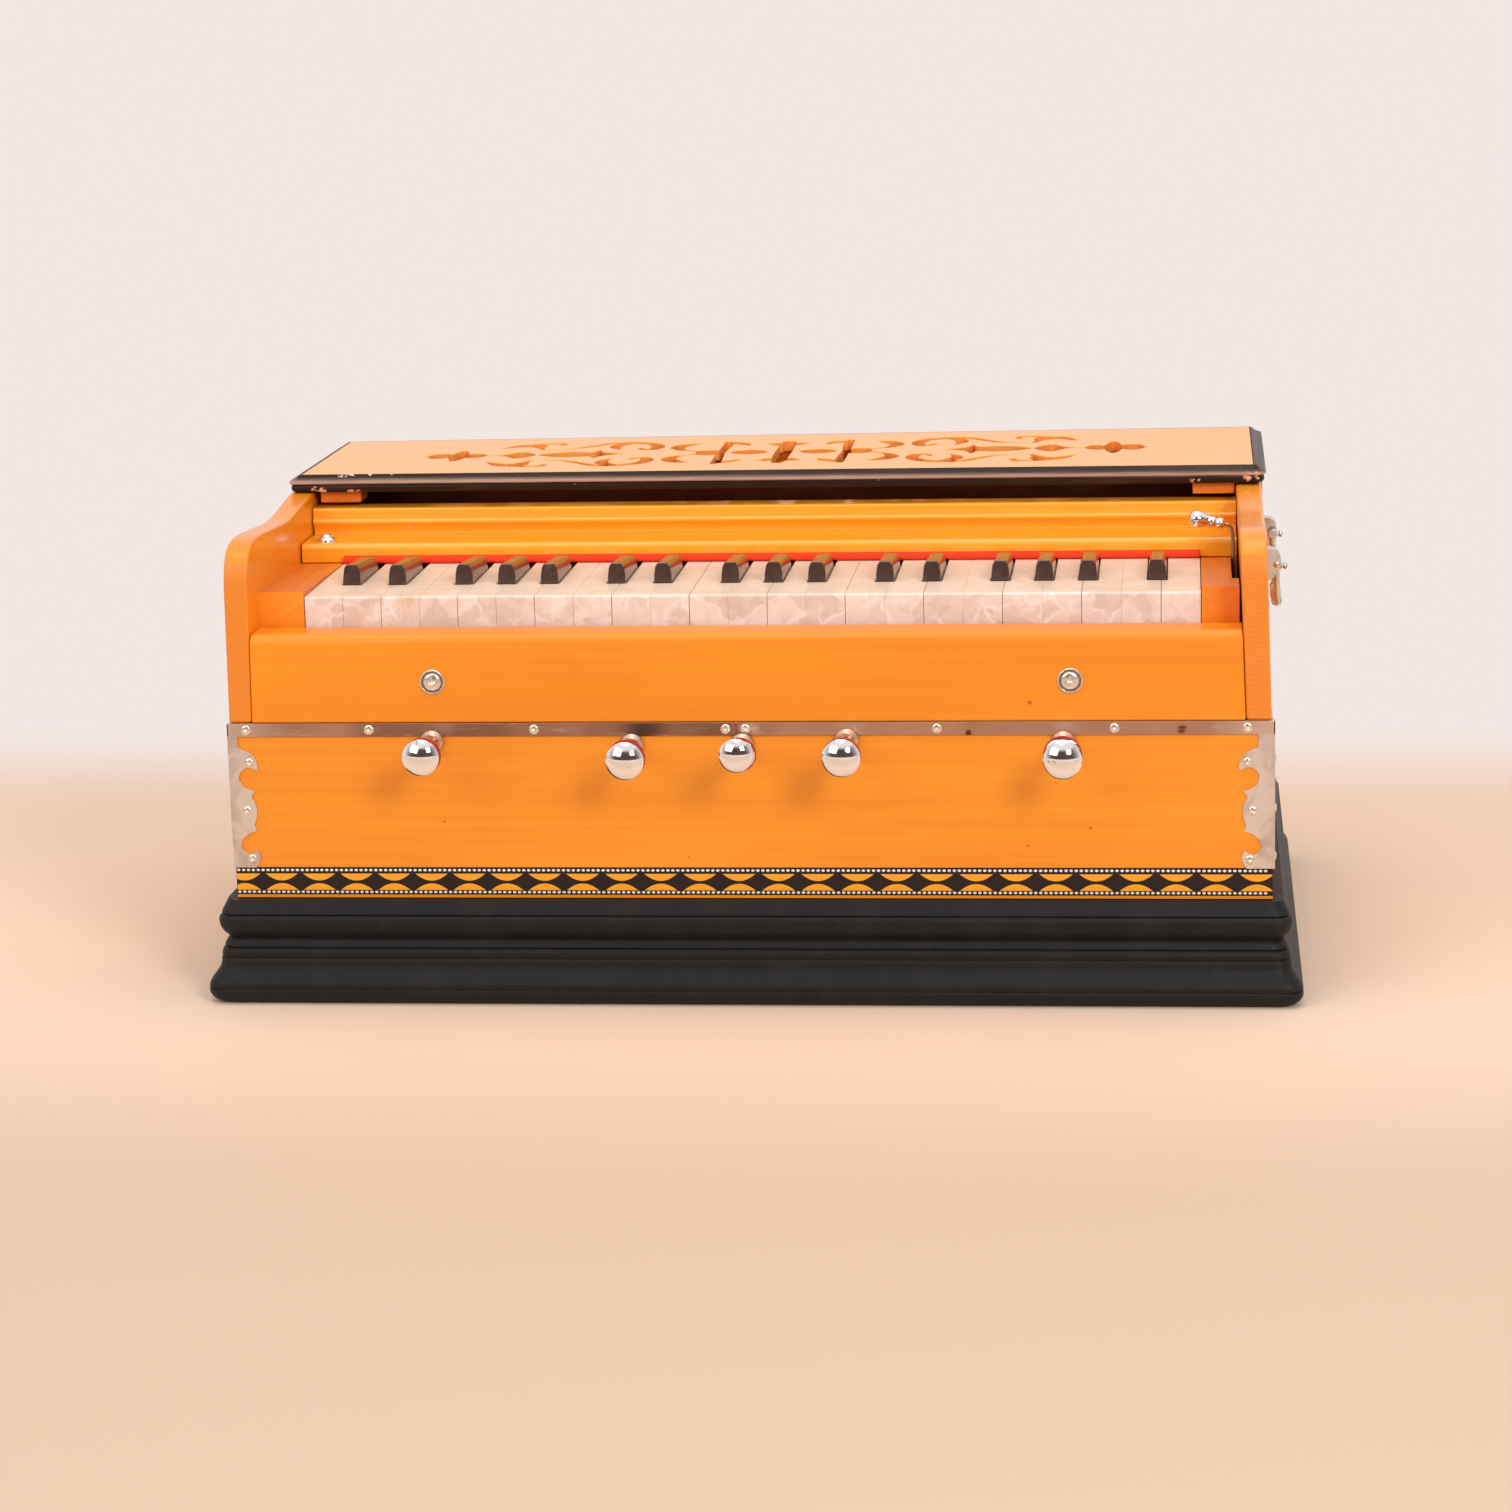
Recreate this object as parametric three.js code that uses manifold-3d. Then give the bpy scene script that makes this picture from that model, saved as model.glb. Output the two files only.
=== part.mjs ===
// Indian harmonium: a hand-pumped reed organ with 23 white and 16 black keys, its wind chest
// on a moulded plinth, a fretwork lid that lifts off, and a bellows across the back.
// Millimetres. +X is to the player's right, +Y away from the player, +Z up, and the origin is
// the centre of the plinth's underside.
import * as THREE from 'three';
import { mergeVertices } from 'three/addons/utils/BufferGeometryUtils.js';
import Module from 'manifold-3d';

const wasm = await Module();
wasm.setup();

// Fits shared by all pieces
const seatGap = 0.3;
const cutOverrun = 2;
const mergeTolerance = 1e-4;

// Case
const caseDepth = 312;
const wallThickness = 12;
const floorThickness = 6;
const lowerCaseHeight = 94.5;
const airwayWidth = 54;
const airwayHeight = 40;

// Plinth, with its moulding from the underside up as shares of its reach and its height
const plinthHeight = 54.4;
const plinthReach = 16.2;
const plinthCornerRadius = 9;
const plinthCornerSteps = 3;
const plinthProfileShares = [
  [0.55, 0], [0.82, 0.03], [0.96, 0.085], [1, 0.16], [0.96, 0.225], [0.8, 0.29],
  [0.61, 0.36], [0.58, 0.47], [0.5, 0.535], [0.375, 0.6], [0.39, 0.645], [0.5, 0.71],
  [0.585, 0.78], [0.595, 0.85], [0.53, 0.91], [0.4, 0.955], [0.34, 1],
];

// Front board, in front of the keys
const frontBoardThickness = 24;
const frontBoardHeight = 47;
const frontBoardRound = 5.5;
const frontBoardBackRound = 1.5;

// Key pan: the sound board that the pallets close, its skirt and what stands on it
const panHeight = 34.8;
const soundBoardThickness = 18;
const panSkirt = 14;
const palletHoleWidth = 6.4;
const palletHoleLength = 40;
const balanceRailFoot = 12;
const balanceRailCrest = 3;
const leftBlockWidth = 25.2;
const rightBlockWidth = 19.5;
const leverRoom = 4.5;
const blockRise = 0.2;
const blockFrontRise = 2.4;

// Keys
const whiteCount = 23;
const whitePitch = 20.5;
const keyGap = 0.7;
const keyFrontGap = 2.2;
const keyTailGap = 11.5;
const keyShown = 105.2;
const keyPivotReach = 118.8;
const palletThickness = 7.2;
const palletLength = 52;
const palletInset = 5;
const palletSideInset = 0.9;
const stickHeight = 16.5;
const coverThickness = 3.9;
const coverEndGap = 0.6;
const whiteEdgeRound = 1.5;
const blackFrontReach = 36.2;
const blackFrontGap = 1.4;
const blackStickWidth = 9.7;
const blackCapLength = 49;
const blackCapRise = 10.6;
const blackCapFall = 3.4;
const blackCapLean = 1.4;
const blackSideGap = 0.6;
const springWidth = 1.6;
const springThickness = 1.2;
const springFootInset = 46;
const springHeadBehindPivot = 4;
// The white of the octave, counted from C as 0, that each black key follows, and how far the
// black key's centre lies from that white's right edge, as a share of the white pitch
const blackPlaceShares = [[0, -0.107], [1, 0.107], [3, -0.127], [4, 0], [5, 0.127]];
const whitesPerOctave = 7;
// The black cap's half section: shares of its half width and of its rise
const blackSectionShares = [[1, 0], [0.95, 0.45], [0.84, 0.82], [0.62, 1]];

// Fall rail over the keys, with its felt
const feltThickness = 3.5;
const feltDepth = 14;
const feltClearance = 0.5;
const feltSetBack = 0.3;
const ledgeHeight = 6.9;
const ledgeDepth = 32.9;
const ledgeRound = 1.2;
const riserHeight = 16.9;
const riserDepth = 16.4;
const riserCove = 2.4;
const riserCoveShare = 0.38;
const riserLean = 1;
const riserRound = 1.6;
const railEndGap = 1;

// Cheeks, with their top edge as shares of their length and height
const cheekAboveRail = 6.3;
const cheekTopShares = [
  [0.009, 0.862], [0.028, 0.932], [0.059, 0.97], [0.112, 0.982], [0.224, 0.964],
  [0.35, 0.942], [0.43, 0.953], [0.51, 0.98], [0.573, 1],
];
const cheekFrontShare = 0.755;
const cheekCurveSteps = 22;

// Lid
const lidSideInset = 7.2;
const lidBackInset = 2.4;
const lidPanelThickness = 6;
const lidFront = 171.5;
const mouldingHeight = 9.7;
const mouldingReach = 6.8;
const mouldingBacking = 8;
// The moulding's outer face: shares of its reach and of its height
const mouldingProfileShares = [
  [0.5, 0], [0.56, 0.16], [0.72, 0.36], [0.78, 0.5], [0.97, 0.53], [1, 0.6], [0.92, 0.67],
  [0.6, 0.73], [0.34, 0.82], [0.2, 0.95], [0, 1],
];
const lidBlockWidth = 23;
const lidBlockDepth = 20;
const lidBlockClearance = 3;
const lidBlockSideGap = 4.6;
const lidBlockBackGap = 3;

// Fretwork in the lid. Strokes are [reach, rise, half width] and outlines [reach, half width],
// as shares of the pattern's reach to each side and of its rise from the middle line.
const fretEndMargin = 51.8;
const fretSideMargin = 20.45;
const fretAspectShare = 0.2271;
const fretCurveSteps = 2;
const centreBarShares = [[0, 0.905, 0.01], [0, 0.617, 0.082], [0, 0, 0.113]];
const centreBarbShares = [[0, 0.556, 0.062], [0.028, 0.494, 0.041], [0.061, 0.556, 0.008]];
const stemShares = [[0.168, 0, 0.045], [0.164, 0.617, 0.053], [0.168, 0.926, 0.008]];
const innerBarbShares = [
  [0.168, 0.823, 0.041], [0.15, 0.782, 0.082], [0.121, 0.679, 0.072], [0.103, 0.556, 0.008],
];
const outerScrollShares = [
  [0.22, 0.082, 0.051], [0.252, 0.165, 0.027], [0.28, 0.257, 0.051], [0.297, 0.453, 0.088],
  [0.28, 0.638, 0.095], [0.255, 0.73, 0.058], [0.234, 0.761, 0.008],
];
const crescentShares = [
  [0.404, 0.514, 0.01], [0.388, 0.37, 0.049], [0.362, 0.36, 0.066], [0.353, 0.576, 0.08],
  [0.376, 0.802, 0.078], [0.43, 0.916, 0.082], [0.486, 0.895, 0.062], [0.53, 0.7, 0.051],
  [0.575, 0.514, 0.039], [0.626, 0.438, 0.025], [0.666, 0.444, 0.025],
];
const crescentLeafShares = [
  [0.435, 0.885, 0.062], [0.465, 0.741, 0.086], [0.47, 0.535, 0.062], [0.45, 0.35, 0.008],
];
const tailLeafShares = [
  [0.664, 0.442, 0.025], [0.678, 0.597, 0.049], [0.692, 0.761, 0.134], [0.724, 0.802, 0.123],
  [0.752, 0.71, 0.074], [0.783, 0.545, 0.008],
];
const tailHookShares = [
  [0.701, 0.885, 0.072], [0.666, 0.936, 0.058], [0.636, 0.936, 0.053], [0.62, 0.854, 0.045],
  [0.627, 0.751, 0.01],
];
const lensOutlineShares = [[0.04, 0.008], [0.056, 0.115], [0.092, 0.191], [0.128, 0.115], [0.145, 0.008]];
const stemBossOutlineShares = [[0.164, 0.185], [0.206, 0.216], [0.236, 0.154]];
const arrowOutlineShares = [
  [0.38, 0.008], [0.435, 0.031], [0.472, 0.082], [0.511, 0.309], [0.523, 0.177], [0.593, 0.191],
  [0.645, 0.169], [0.664, 0.012],
];
const vaseOutlineShares = [
  [0.676, 0.051], [0.701, 0.237], [0.734, 0.319], [0.748, 0.103], [0.78, 0.045], [0.813, 0.041],
];
const spearOutlineShares = [
  [0.808, 0.041], [0.832, 0.257], [0.869, 0.251], [0.893, 0.463], [0.911, 0.226],
  [0.949, 0.144], [1, 0.006],
];

// Stop knobs: places across the front as shares of its half width, each ball as a share of the
// full ball, and the turned form of one
const stopPlaceShares = [-0.5985, -0.2106, 0.0007, 0.1982, 0.6113];
const stopSizeShares = [0.97, 1, 0.89, 1, 1];
const stopBallRadius = 9.9;
const stopBelowTop = 9.9;
const stopReach = 38;
const stopRodRadius = 3;
const stopRodInside = 30;
const stopHoleClearance = 0.3;
const stopNeckRadius = 3.4;
const stopNeckShares = { start: 0.18, end: 0.5, flare: 0.8, flareRadius: 0.62 };
const stopFlangeRadius = 7.6;
const stopFlangeThickness = 3.4;
// The flange's domed front: shares of its radius and of its thickness
const stopFlangeShares = [[1, 0], [0.94, 0.4], [0.66, 1]];
const stopRingWidth = 2.4;
const stopRingShare = 0.955;
const stopSides = 12;
const stopBallSteps = 6;

// Nickel band and corner plates. The plates' inner edge, from the top down, is in shares of the
// plate's widest reach and of its drop.
const bandHeight = 6.7;
const bandThickness = 0.8;
const plateReach = 15.3;
const plateDrop = 68.4;
const plateEdgeShares = [
  [0.25, 0], [0.25, 0.12], [0.94, 0.24], [0.55, 0.265], [0.33, 0.3], [0.55, 0.36], [0.87, 0.43],
  [0.76, 0.47], [0.93, 0.58], [0.84, 0.68], [0.89, 0.725], [0.5, 0.78], [0.36, 0.83],
  [0.94, 0.87], [1, 0.93], [0.78, 1],
];

// Octave coupler lever
const leverInset = 1.6;
const leverSlotWidth = 4;
const leverSlotLength = 75.6;
const leverBehindRail = -3.4;
const leverWireRadius = 1.3;
const leverHubRadius = 1.7;
const leverPivotBelowPan = 11.6;
const leverRise = 60.5;
const leverHandleLength = 23.5;
const leverCollarRadius = 2.6;
const leverWaistRadius = 1.8;
const leverBallRadius = 3.1;
const leverHandleShares = { collarStart: 0.22, collarEnd: 0.38, waist: 0.58 };
const leverSides = 10;

// Bellows: folded pack, pump board and its hinge
const boardThickness = 10;
const boardTopGap = 10.8;
const boardEdge = 2.5;
const hingeDrop = 3.1;
const hingeRadius = 2.3;
const hingeLength = 48;
const hingePlaceShares = [-0.696, 0, 0.696];
const hingeSides = 10;
const foldPackDepth = 15.4;
const foldCount = 4;
const foldInset = 7;
const foldSideInset = 3;
const intakeRadius = 9;
const intakeSides = 12;
// Places of the intake holes, as shares of the board's half width and of its height
const intakePlaceShares = [-0.66, -0.22, 0.22, 0.66];
const intakeHeightShares = [0.404, 0.663];

// Carrying handles: one lug at each end of a bail that hangs on two pins
const bailHalfSpan = 46;
const bailDrop = 25.5;
const bailStand = 3.8;
const bailRadius = 2.2;
const bailShoulderRadius = 2.7;
// One end of the bail's path: shares of its half span and of its drop
const bailPathShares = [[1, 0], [1, 0.36], [0.89, 0.85], [0.7, 1]];
const bailSides = 6;
const bailSteps = 14;
const gripRadius = 3.3;
const gripLength = 44;
const handleBelowTop = 32.5;
const handlePlace = -1.5;
const bailPinRadius = 1.4;
const bailPinLength = 5;
const lugDepth = 8.4;
const lugHeight = 14;
const lugReach = 6.4;
const lugStudRadius = 1.7;
const lugStudReach = 3.2;
const lugSides = 8;

// Bellows catches: a hook on each side that drops over a stud on the pump board
const catchLength = 29;
const catchStudInset = 5;
const catchBelowBoardTop = 35.5;
const catchThickness = 1.8;
const catchWidth = 6;
const catchHeadRadius = 5;
const catchStudRadius = 1.5;
const catchStudReach = 3.6;
const catchNotchClearance = 0.4;

// Finishes
const finishes = {
  varnishedWood: { color: 0xe8872c, roughness: 0.35, metalness: 0 },
  blackPaint: { color: 0x26282a, roughness: 0.5, metalness: 0 },
  pearl: { color: 0xe9cfc4, roughness: 0.25, metalness: 0 },
  blackKey: { color: 0x2a1c18, roughness: 0.22, metalness: 0 },
  nickel: { color: 0xb9aaa2, roughness: 0.25, metalness: 1 },
  chrome: { color: 0xe4e2e0, roughness: 0.08, metalness: 1 },
  foldCloth: { color: 0x6e1f1c, roughness: 0.85, metalness: 0 },
};

// Places worked out from the sizes above
const keySpan = whiteCount * whitePitch;
const keyRowWidth = leftBlockWidth + keyGap + keySpan + rightBlockWidth + leverRoom;
const caseWidth = keyRowWidth + 2 * (wallThickness + seatGap);
const caseFront = -caseDepth / 2;
const caseBack = caseDepth / 2;
const caseSide = caseWidth / 2;
const wellSide = caseSide - wallThickness;
const lowerCaseBottom = plinthHeight + seatGap;
const lowerCaseTop = plinthHeight + lowerCaseHeight;
const upperBottom = lowerCaseTop + seatGap;
const boardFront = caseBack - boardThickness;
const foldFront = boardFront - seatGap - foldPackDepth;
const fixedBack = foldFront - seatGap;
const backWallFront = fixedBack - wallThickness;
const panTop = upperBottom + panHeight;
const panFront = caseFront + frontBoardThickness + seatGap;
const panBack = backWallFront - seatGap;
const keyBottom = panTop + seatGap + palletThickness;
const stickTop = keyBottom + stickHeight;
const keyTop = stickTop + coverThickness;
const keyFront = caseFront + frontBoardThickness + keyFrontGap;
const keyPivot = keyFront + keyPivotReach;
const keysLeft = -wellSide + seatGap + leftBlockWidth + keyGap / 2;
const keysRight = keysLeft + keySpan;
const keyRear = panBack - keyTailGap;
const railFront = keyFront + keyShown;
const feltBottom = keyTop + feltClearance;
const ledgeBottom = feltBottom + feltThickness;
const ledgeTop = ledgeBottom + ledgeHeight;
const riserFront = railFront + ledgeDepth;
const riserTop = ledgeTop + riserHeight;
const railBack = riserFront + riserDepth;
const cheekTop = riserTop + cheekAboveRail;
const cheekLift = cheekTop - upperBottom;
const lidBottom = cheekTop + seatGap;
const lidTop = lidBottom + mouldingHeight;
const lidPanelWidth = caseWidth - 2 * lidSideInset;
const lidPanelDepth = caseDepth - lidFront - lidBackInset;
const lidCentre = caseFront + lidFront + lidPanelDepth / 2;
const fretReach = Math.min(
  lidPanelWidth / 2 - fretEndMargin,
  (lidPanelDepth / 2 - fretSideMargin) / fretAspectShare,
);
const fretRise = fretReach * fretAspectShare;
const stopHeight = lowerCaseTop - stopBelowTop;
const stopPlaces = stopPlaceShares.map((share) => share * caseSide);
const leverPlace = keysRight + keyGap / 2 + rightBlockWidth - leverInset;
const handleHeight = cheekTop - handleBelowTop;
const hingeHeight = plinthHeight + hingeDrop;
const boardHeight = lidBottom - boardTopGap - hingeHeight;
const catchHeight = hingeHeight + boardHeight - catchBelowBoardTop;

// Solid helpers

// A closed three.js geometry as a manifold solid.
function toSolid(geometry) {
  const bare = geometry.index ? geometry.toNonIndexed() : geometry.clone();
  for (const name of Object.keys(bare.attributes)) {
    if (name !== 'position') bare.deleteAttribute(name);
  }
  const merged = mergeVertices(bare, mergeTolerance);
  return new wasm.Manifold(new wasm.Mesh({
    numProp: 3,
    vertProperties: new Float32Array(merged.attributes.position.array),
    triVerts: new Uint32Array(merged.index.array),
  }));
}

function toGeometry(solid) {
  const mesh = solid.getMesh();
  const geometry = new THREE.BufferGeometry();
  geometry.setAttribute('position', new THREE.BufferAttribute(new Float32Array(mesh.vertProperties), 3));
  geometry.setIndex(new THREE.BufferAttribute(new Uint32Array(mesh.triVerts), 1));
  geometry.computeVertexNormals();
  return geometry;
}

function join(solids) {
  return solids.reduce((whole, solid) => whole.add(solid));
}

function cut(body, tools) {
  return tools.reduce((left, tool) => left.subtract(tool), body);
}

function block(x0, x1, y0, y1, z0, z1) {
  const geometry = new THREE.BoxGeometry(x1 - x0, y1 - y0, z1 - z0);
  geometry.translate((x0 + x1) / 2, (y0 + y1) / 2, (z0 + z1) / 2);
  return toSolid(geometry);
}

// A shape's outline pushed along its own normal, then set on the three given axes.
function extruded(shape, length, axisU, axisV, axisW, curveSegments = 6) {
  const geometry = new THREE.ExtrudeGeometry(shape, { depth: length, bevelEnabled: false, curveSegments });
  geometry.applyMatrix4(new THREE.Matrix4().makeBasis(axisU, axisV, axisW));
  return geometry;
}

const along = {
  x: new THREE.Vector3(1, 0, 0),
  y: new THREE.Vector3(0, 1, 0),
  z: new THREE.Vector3(0, 0, 1),
  minusY: new THREE.Vector3(0, -1, 0),
};

// An outline in Y and Z, carried from x0 to x1.
function sideProfile(shape, x0, x1) {
  const geometry = extruded(shape, x1 - x0, along.y, along.z, along.x);
  geometry.translate(x0, 0, 0);
  return toSolid(geometry);
}

// An outline in X and Z, carried from y0 back to y1.
function frontProfile(shape, y0, y1) {
  const geometry = extruded(shape, y1 - y0, along.x, along.z, along.minusY);
  geometry.translate(0, y1, 0);
  return toSolid(geometry);
}

// An outline in X and Y, carried from z0 up to z1.
function planProfile(shape, z0, z1) {
  const geometry = extruded(shape, z1 - z0, along.x, along.y, along.z);
  geometry.translate(0, 0, z0);
  return toSolid(geometry);
}

function shapeOf(points) {
  return new THREE.Shape(points.map(([u, v]) => new THREE.Vector2(u, v)));
}

// A round rod between two places, with its flats set by the number of sides.
function rod(from, to, radius, sides) {
  const start = new THREE.Vector3(...from);
  const span = new THREE.Vector3(...to).sub(start);
  const geometry = new THREE.CylinderGeometry(radius, radius, span.length(), sides);
  geometry.translate(0, span.length() / 2, 0);
  const turn = new THREE.Quaternion().setFromUnitVectors(along.y, span.clone().normalize());
  geometry.applyQuaternion(turn);
  geometry.translate(start.x, start.y, start.z);
  return toSolid(geometry);
}

// A turned form: points are [radius, place along the axis].
function turned(points, sides) {
  return new THREE.LatheGeometry(points.map(([r, y]) => new THREE.Vector2(r, y)), sides);
}

// A skin over rings with equal numbers of points, closed by a flat cap at each end.
function loft(rings) {
  const count = rings[0].length;
  const positions = rings.flat(2);
  const index = [];
  for (let ring = 0; ring + 1 < rings.length; ring += 1) {
    for (let k = 0; k < count; k += 1) {
      const a = ring * count + k;
      const b = ring * count + (k + 1) % count;
      index.push(a, b, b + count, a, b + count, a + count);
    }
  }
  const last = (rings.length - 1) * count;
  for (let k = 1; k + 1 < count; k += 1) {
    index.push(0, k + 1, k);
    index.push(last, last + k, last + k + 1);
  }
  const geometry = new THREE.BufferGeometry();
  geometry.setAttribute('position', new THREE.BufferAttribute(new Float32Array(positions), 3));
  geometry.setIndex(index);
  return toSolid(geometry);
}

// A level ring with round corners, counter-clockwise from above.
function roundedRing(halfX, halfY, radius, z, steps) {
  const ring = [];
  const corners = [[1, 1, 0], [-1, 1, 1], [-1, -1, 2], [1, -1, 3]];
  for (const [signX, signY, quarter] of corners) {
    for (let k = 0; k <= steps; k += 1) {
      const angle = (quarter + k / steps) * Math.PI / 2;
      ring.push([
        signX * (halfX - radius) + radius * Math.cos(angle),
        signY * (halfY - radius) + radius * Math.sin(angle),
        z,
      ]);
    }
  }
  return ring;
}

// A level ring with square corners, counter-clockwise from above.
function squareRing(halfX, halfY, z) {
  return [[halfX, halfY, z], [-halfX, halfY, z], [-halfX, -halfY, z], [halfX, -halfY, z]];
}

const model = new THREE.Group();

function addPiece(parent, name, solid, finish) {
  const mesh = new THREE.Mesh(toGeometry(solid), new THREE.MeshStandardMaterial(finishes[finish]));
  mesh.name = name;
  parent.add(mesh);
  return mesh;
}

function subGroup(parent) {
  const group = new THREE.Group();
  parent.add(group);
  return group;
}

// Plinth: one moulded block under the whole instrument
function makePlinth() {
  const rings = plinthProfileShares.map(([out, up]) => roundedRing(
    caseSide + out * plinthReach,
    caseBack + out * plinthReach,
    plinthCornerRadius,
    up * plinthHeight,
    plinthCornerSteps,
  ));
  return loft(rings);
}

// Lower case: the wind chest's walls and floor, with the tall back board, the holes for the
// stop rods and the airway from the bellows
function makeLowerCase() {
  const outside = block(-caseSide, caseSide, caseFront, fixedBack, lowerCaseBottom, lowerCaseTop);
  const inside = block(
    -wellSide, wellSide, caseFront + wallThickness, backWallFront,
    lowerCaseBottom + floorThickness, lowerCaseTop + cutOverrun,
  );
  const backBoard = block(
    -wellSide + seatGap, wellSide - seatGap, backWallFront, fixedBack,
    lowerCaseTop - cutOverrun, cheekTop - seatGap,
  );
  const airwayMiddle = (lowerCaseBottom + floorThickness + lowerCaseTop) / 2;
  const airway = block(
    -airwayWidth / 2, airwayWidth / 2, backWallFront - cutOverrun, fixedBack + cutOverrun,
    airwayMiddle - airwayHeight / 2, airwayMiddle + airwayHeight / 2,
  );
  const rodHoles = stopPlaces.map((x) => rod(
    [x, caseFront - cutOverrun, stopHeight],
    [x, caseFront + wallThickness + cutOverrun, stopHeight],
    stopRodRadius + stopHoleClearance,
    stopSides,
  ));
  return cut(outside.subtract(inside).add(backBoard), [airway, ...rodHoles]);
}

// Cheek: the upper side wall, with its waved top edge in front of the lid and the two lugs of
// the carrying handle. It is drawn for the right side, and side is 1 or -1.
function cheekShape() {
  const length = fixedBack - caseFront;
  const shape = new THREE.Shape();
  shape.moveTo(caseFront, upperBottom);
  shape.lineTo(fixedBack, upperBottom);
  shape.lineTo(fixedBack, cheekTop);
  const edge = cheekTopShares.map(([u, v]) => (
    new THREE.Vector2(caseFront + u * length, upperBottom + v * cheekLift)
  ));
  edge.unshift(new THREE.Vector2(caseFront, upperBottom + cheekFrontShare * cheekLift));
  const curve = new THREE.SplineCurve(edge);
  for (const point of curve.getPoints(cheekCurveSteps).reverse()) shape.lineTo(point.x, point.y);
  return shape;
}

function lugAt(side, end) {
  const y0 = handlePlace + end * (bailHalfSpan + bailPinLength / 2 + seatGap);
  const y1 = y0 + end * lugDepth;
  const shape = new THREE.Shape();
  shape.absellipse(caseSide, handleHeight, lugReach, lugHeight / 2, -Math.PI / 2, Math.PI / 2);
  shape.lineTo(caseSide - cutOverrun, handleHeight + lugHeight / 2);
  shape.lineTo(caseSide - cutOverrun, handleHeight - lugHeight / 2);
  const ear = frontProfile(shape, Math.min(y0, y1), Math.max(y0, y1));
  const bore = rod(
    [caseSide + bailStand, y0 - end * cutOverrun, handleHeight],
    [caseSide + bailStand, y0 + end * (bailPinLength + seatGap), handleHeight],
    bailPinRadius + seatGap,
    lugSides,
  );
  const stud = rod(
    [caseSide + lugReach - lugStudRadius, (y0 + y1) / 2, handleHeight],
    [caseSide + lugReach + lugStudReach, (y0 + y1) / 2, handleHeight],
    lugStudRadius,
    lugSides,
  );
  const lug = ear.add(stud).subtract(bore);
  return side > 0 ? lug : lug.mirror([1, 0, 0]);
}

function makeCheek(side) {
  const x0 = Math.min(side * wellSide, side * caseSide);
  const wall = sideProfile(cheekShape(), x0, x0 + wallThickness);
  return join([wall, lugAt(side, 1), lugAt(side, -1)]);
}

// Front board, with its rounded top edges
function makeFrontBoard() {
  const back = caseFront + frontBoardThickness;
  const top = upperBottom + frontBoardHeight;
  const shape = new THREE.Shape();
  shape.moveTo(caseFront, upperBottom);
  shape.lineTo(back, upperBottom);
  shape.lineTo(back, top - frontBoardBackRound);
  shape.absarc(back - frontBoardBackRound, top - frontBoardBackRound, frontBoardBackRound, 0, Math.PI / 2);
  shape.absarc(caseFront + frontBoardRound, top - frontBoardRound, frontBoardRound, Math.PI / 2, Math.PI);
  return sideProfile(shape, -wellSide + seatGap, wellSide - seatGap);
}

// Key layout: each key's centre and width, from left to right
function keyLayout() {
  const whites = [];
  const blacks = [];
  for (let k = 0; k < whiteCount; k += 1) {
    whites.push({ centre: keysLeft + (k + 0.5) * whitePitch, cuts: [] });
  }
  for (let k = 0; k + 1 < whiteCount; k += 1) {
    const place = blackPlaceShares.find(([white]) => white === k % whitesPerOctave);
    if (place) {
      const centre = keysLeft + (k + 1 + place[1]) * whitePitch;
      blacks.push({ centre });
      whites[k].cuts.push(centre);
      whites[k + 1].cuts.push(centre);
    }
  }
  const sideRoom = blackStickWidth / 2 + blackSideGap;
  for (const white of whites) {
    const edges = [white.centre - (whitePitch - keyGap) / 2, white.centre + (whitePitch - keyGap) / 2];
    for (const centre of white.cuts) {
      if (centre < white.centre) edges[0] = centre + sideRoom;
      else edges[1] = centre - sideRoom;
    }
    white.tail = edges;
  }
  for (const black of blacks) {
    black.tail = [black.centre - blackStickWidth / 2, black.centre + blackStickWidth / 2];
  }
  return { whites, blacks };
}

const keys = keyLayout();

// The pallet under a key's tail and the wire spring on top of it
function keyTailFittings(x0, x1) {
  const palletRear = keyRear - palletInset;
  const pallet = block(
    x0 + palletSideInset, x1 - palletSideInset, palletRear - palletLength, palletRear,
    panTop + seatGap, keyBottom + cutOverrun,
  );
  const middle = (x0 + x1) / 2;
  const foot = keyRear - springFootInset;
  const head = keyPivot + springHeadBehindPivot;
  const headTop = ledgeBottom - seatGap;
  const shape = shapeOf([
    [head, headTop - springThickness],
    [foot, stickTop - springThickness],
    [foot, stickTop],
    [head, headTop],
  ]);
  return [pallet, sideProfile(shape, middle - springWidth / 2, middle + springWidth / 2)];
}

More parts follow.
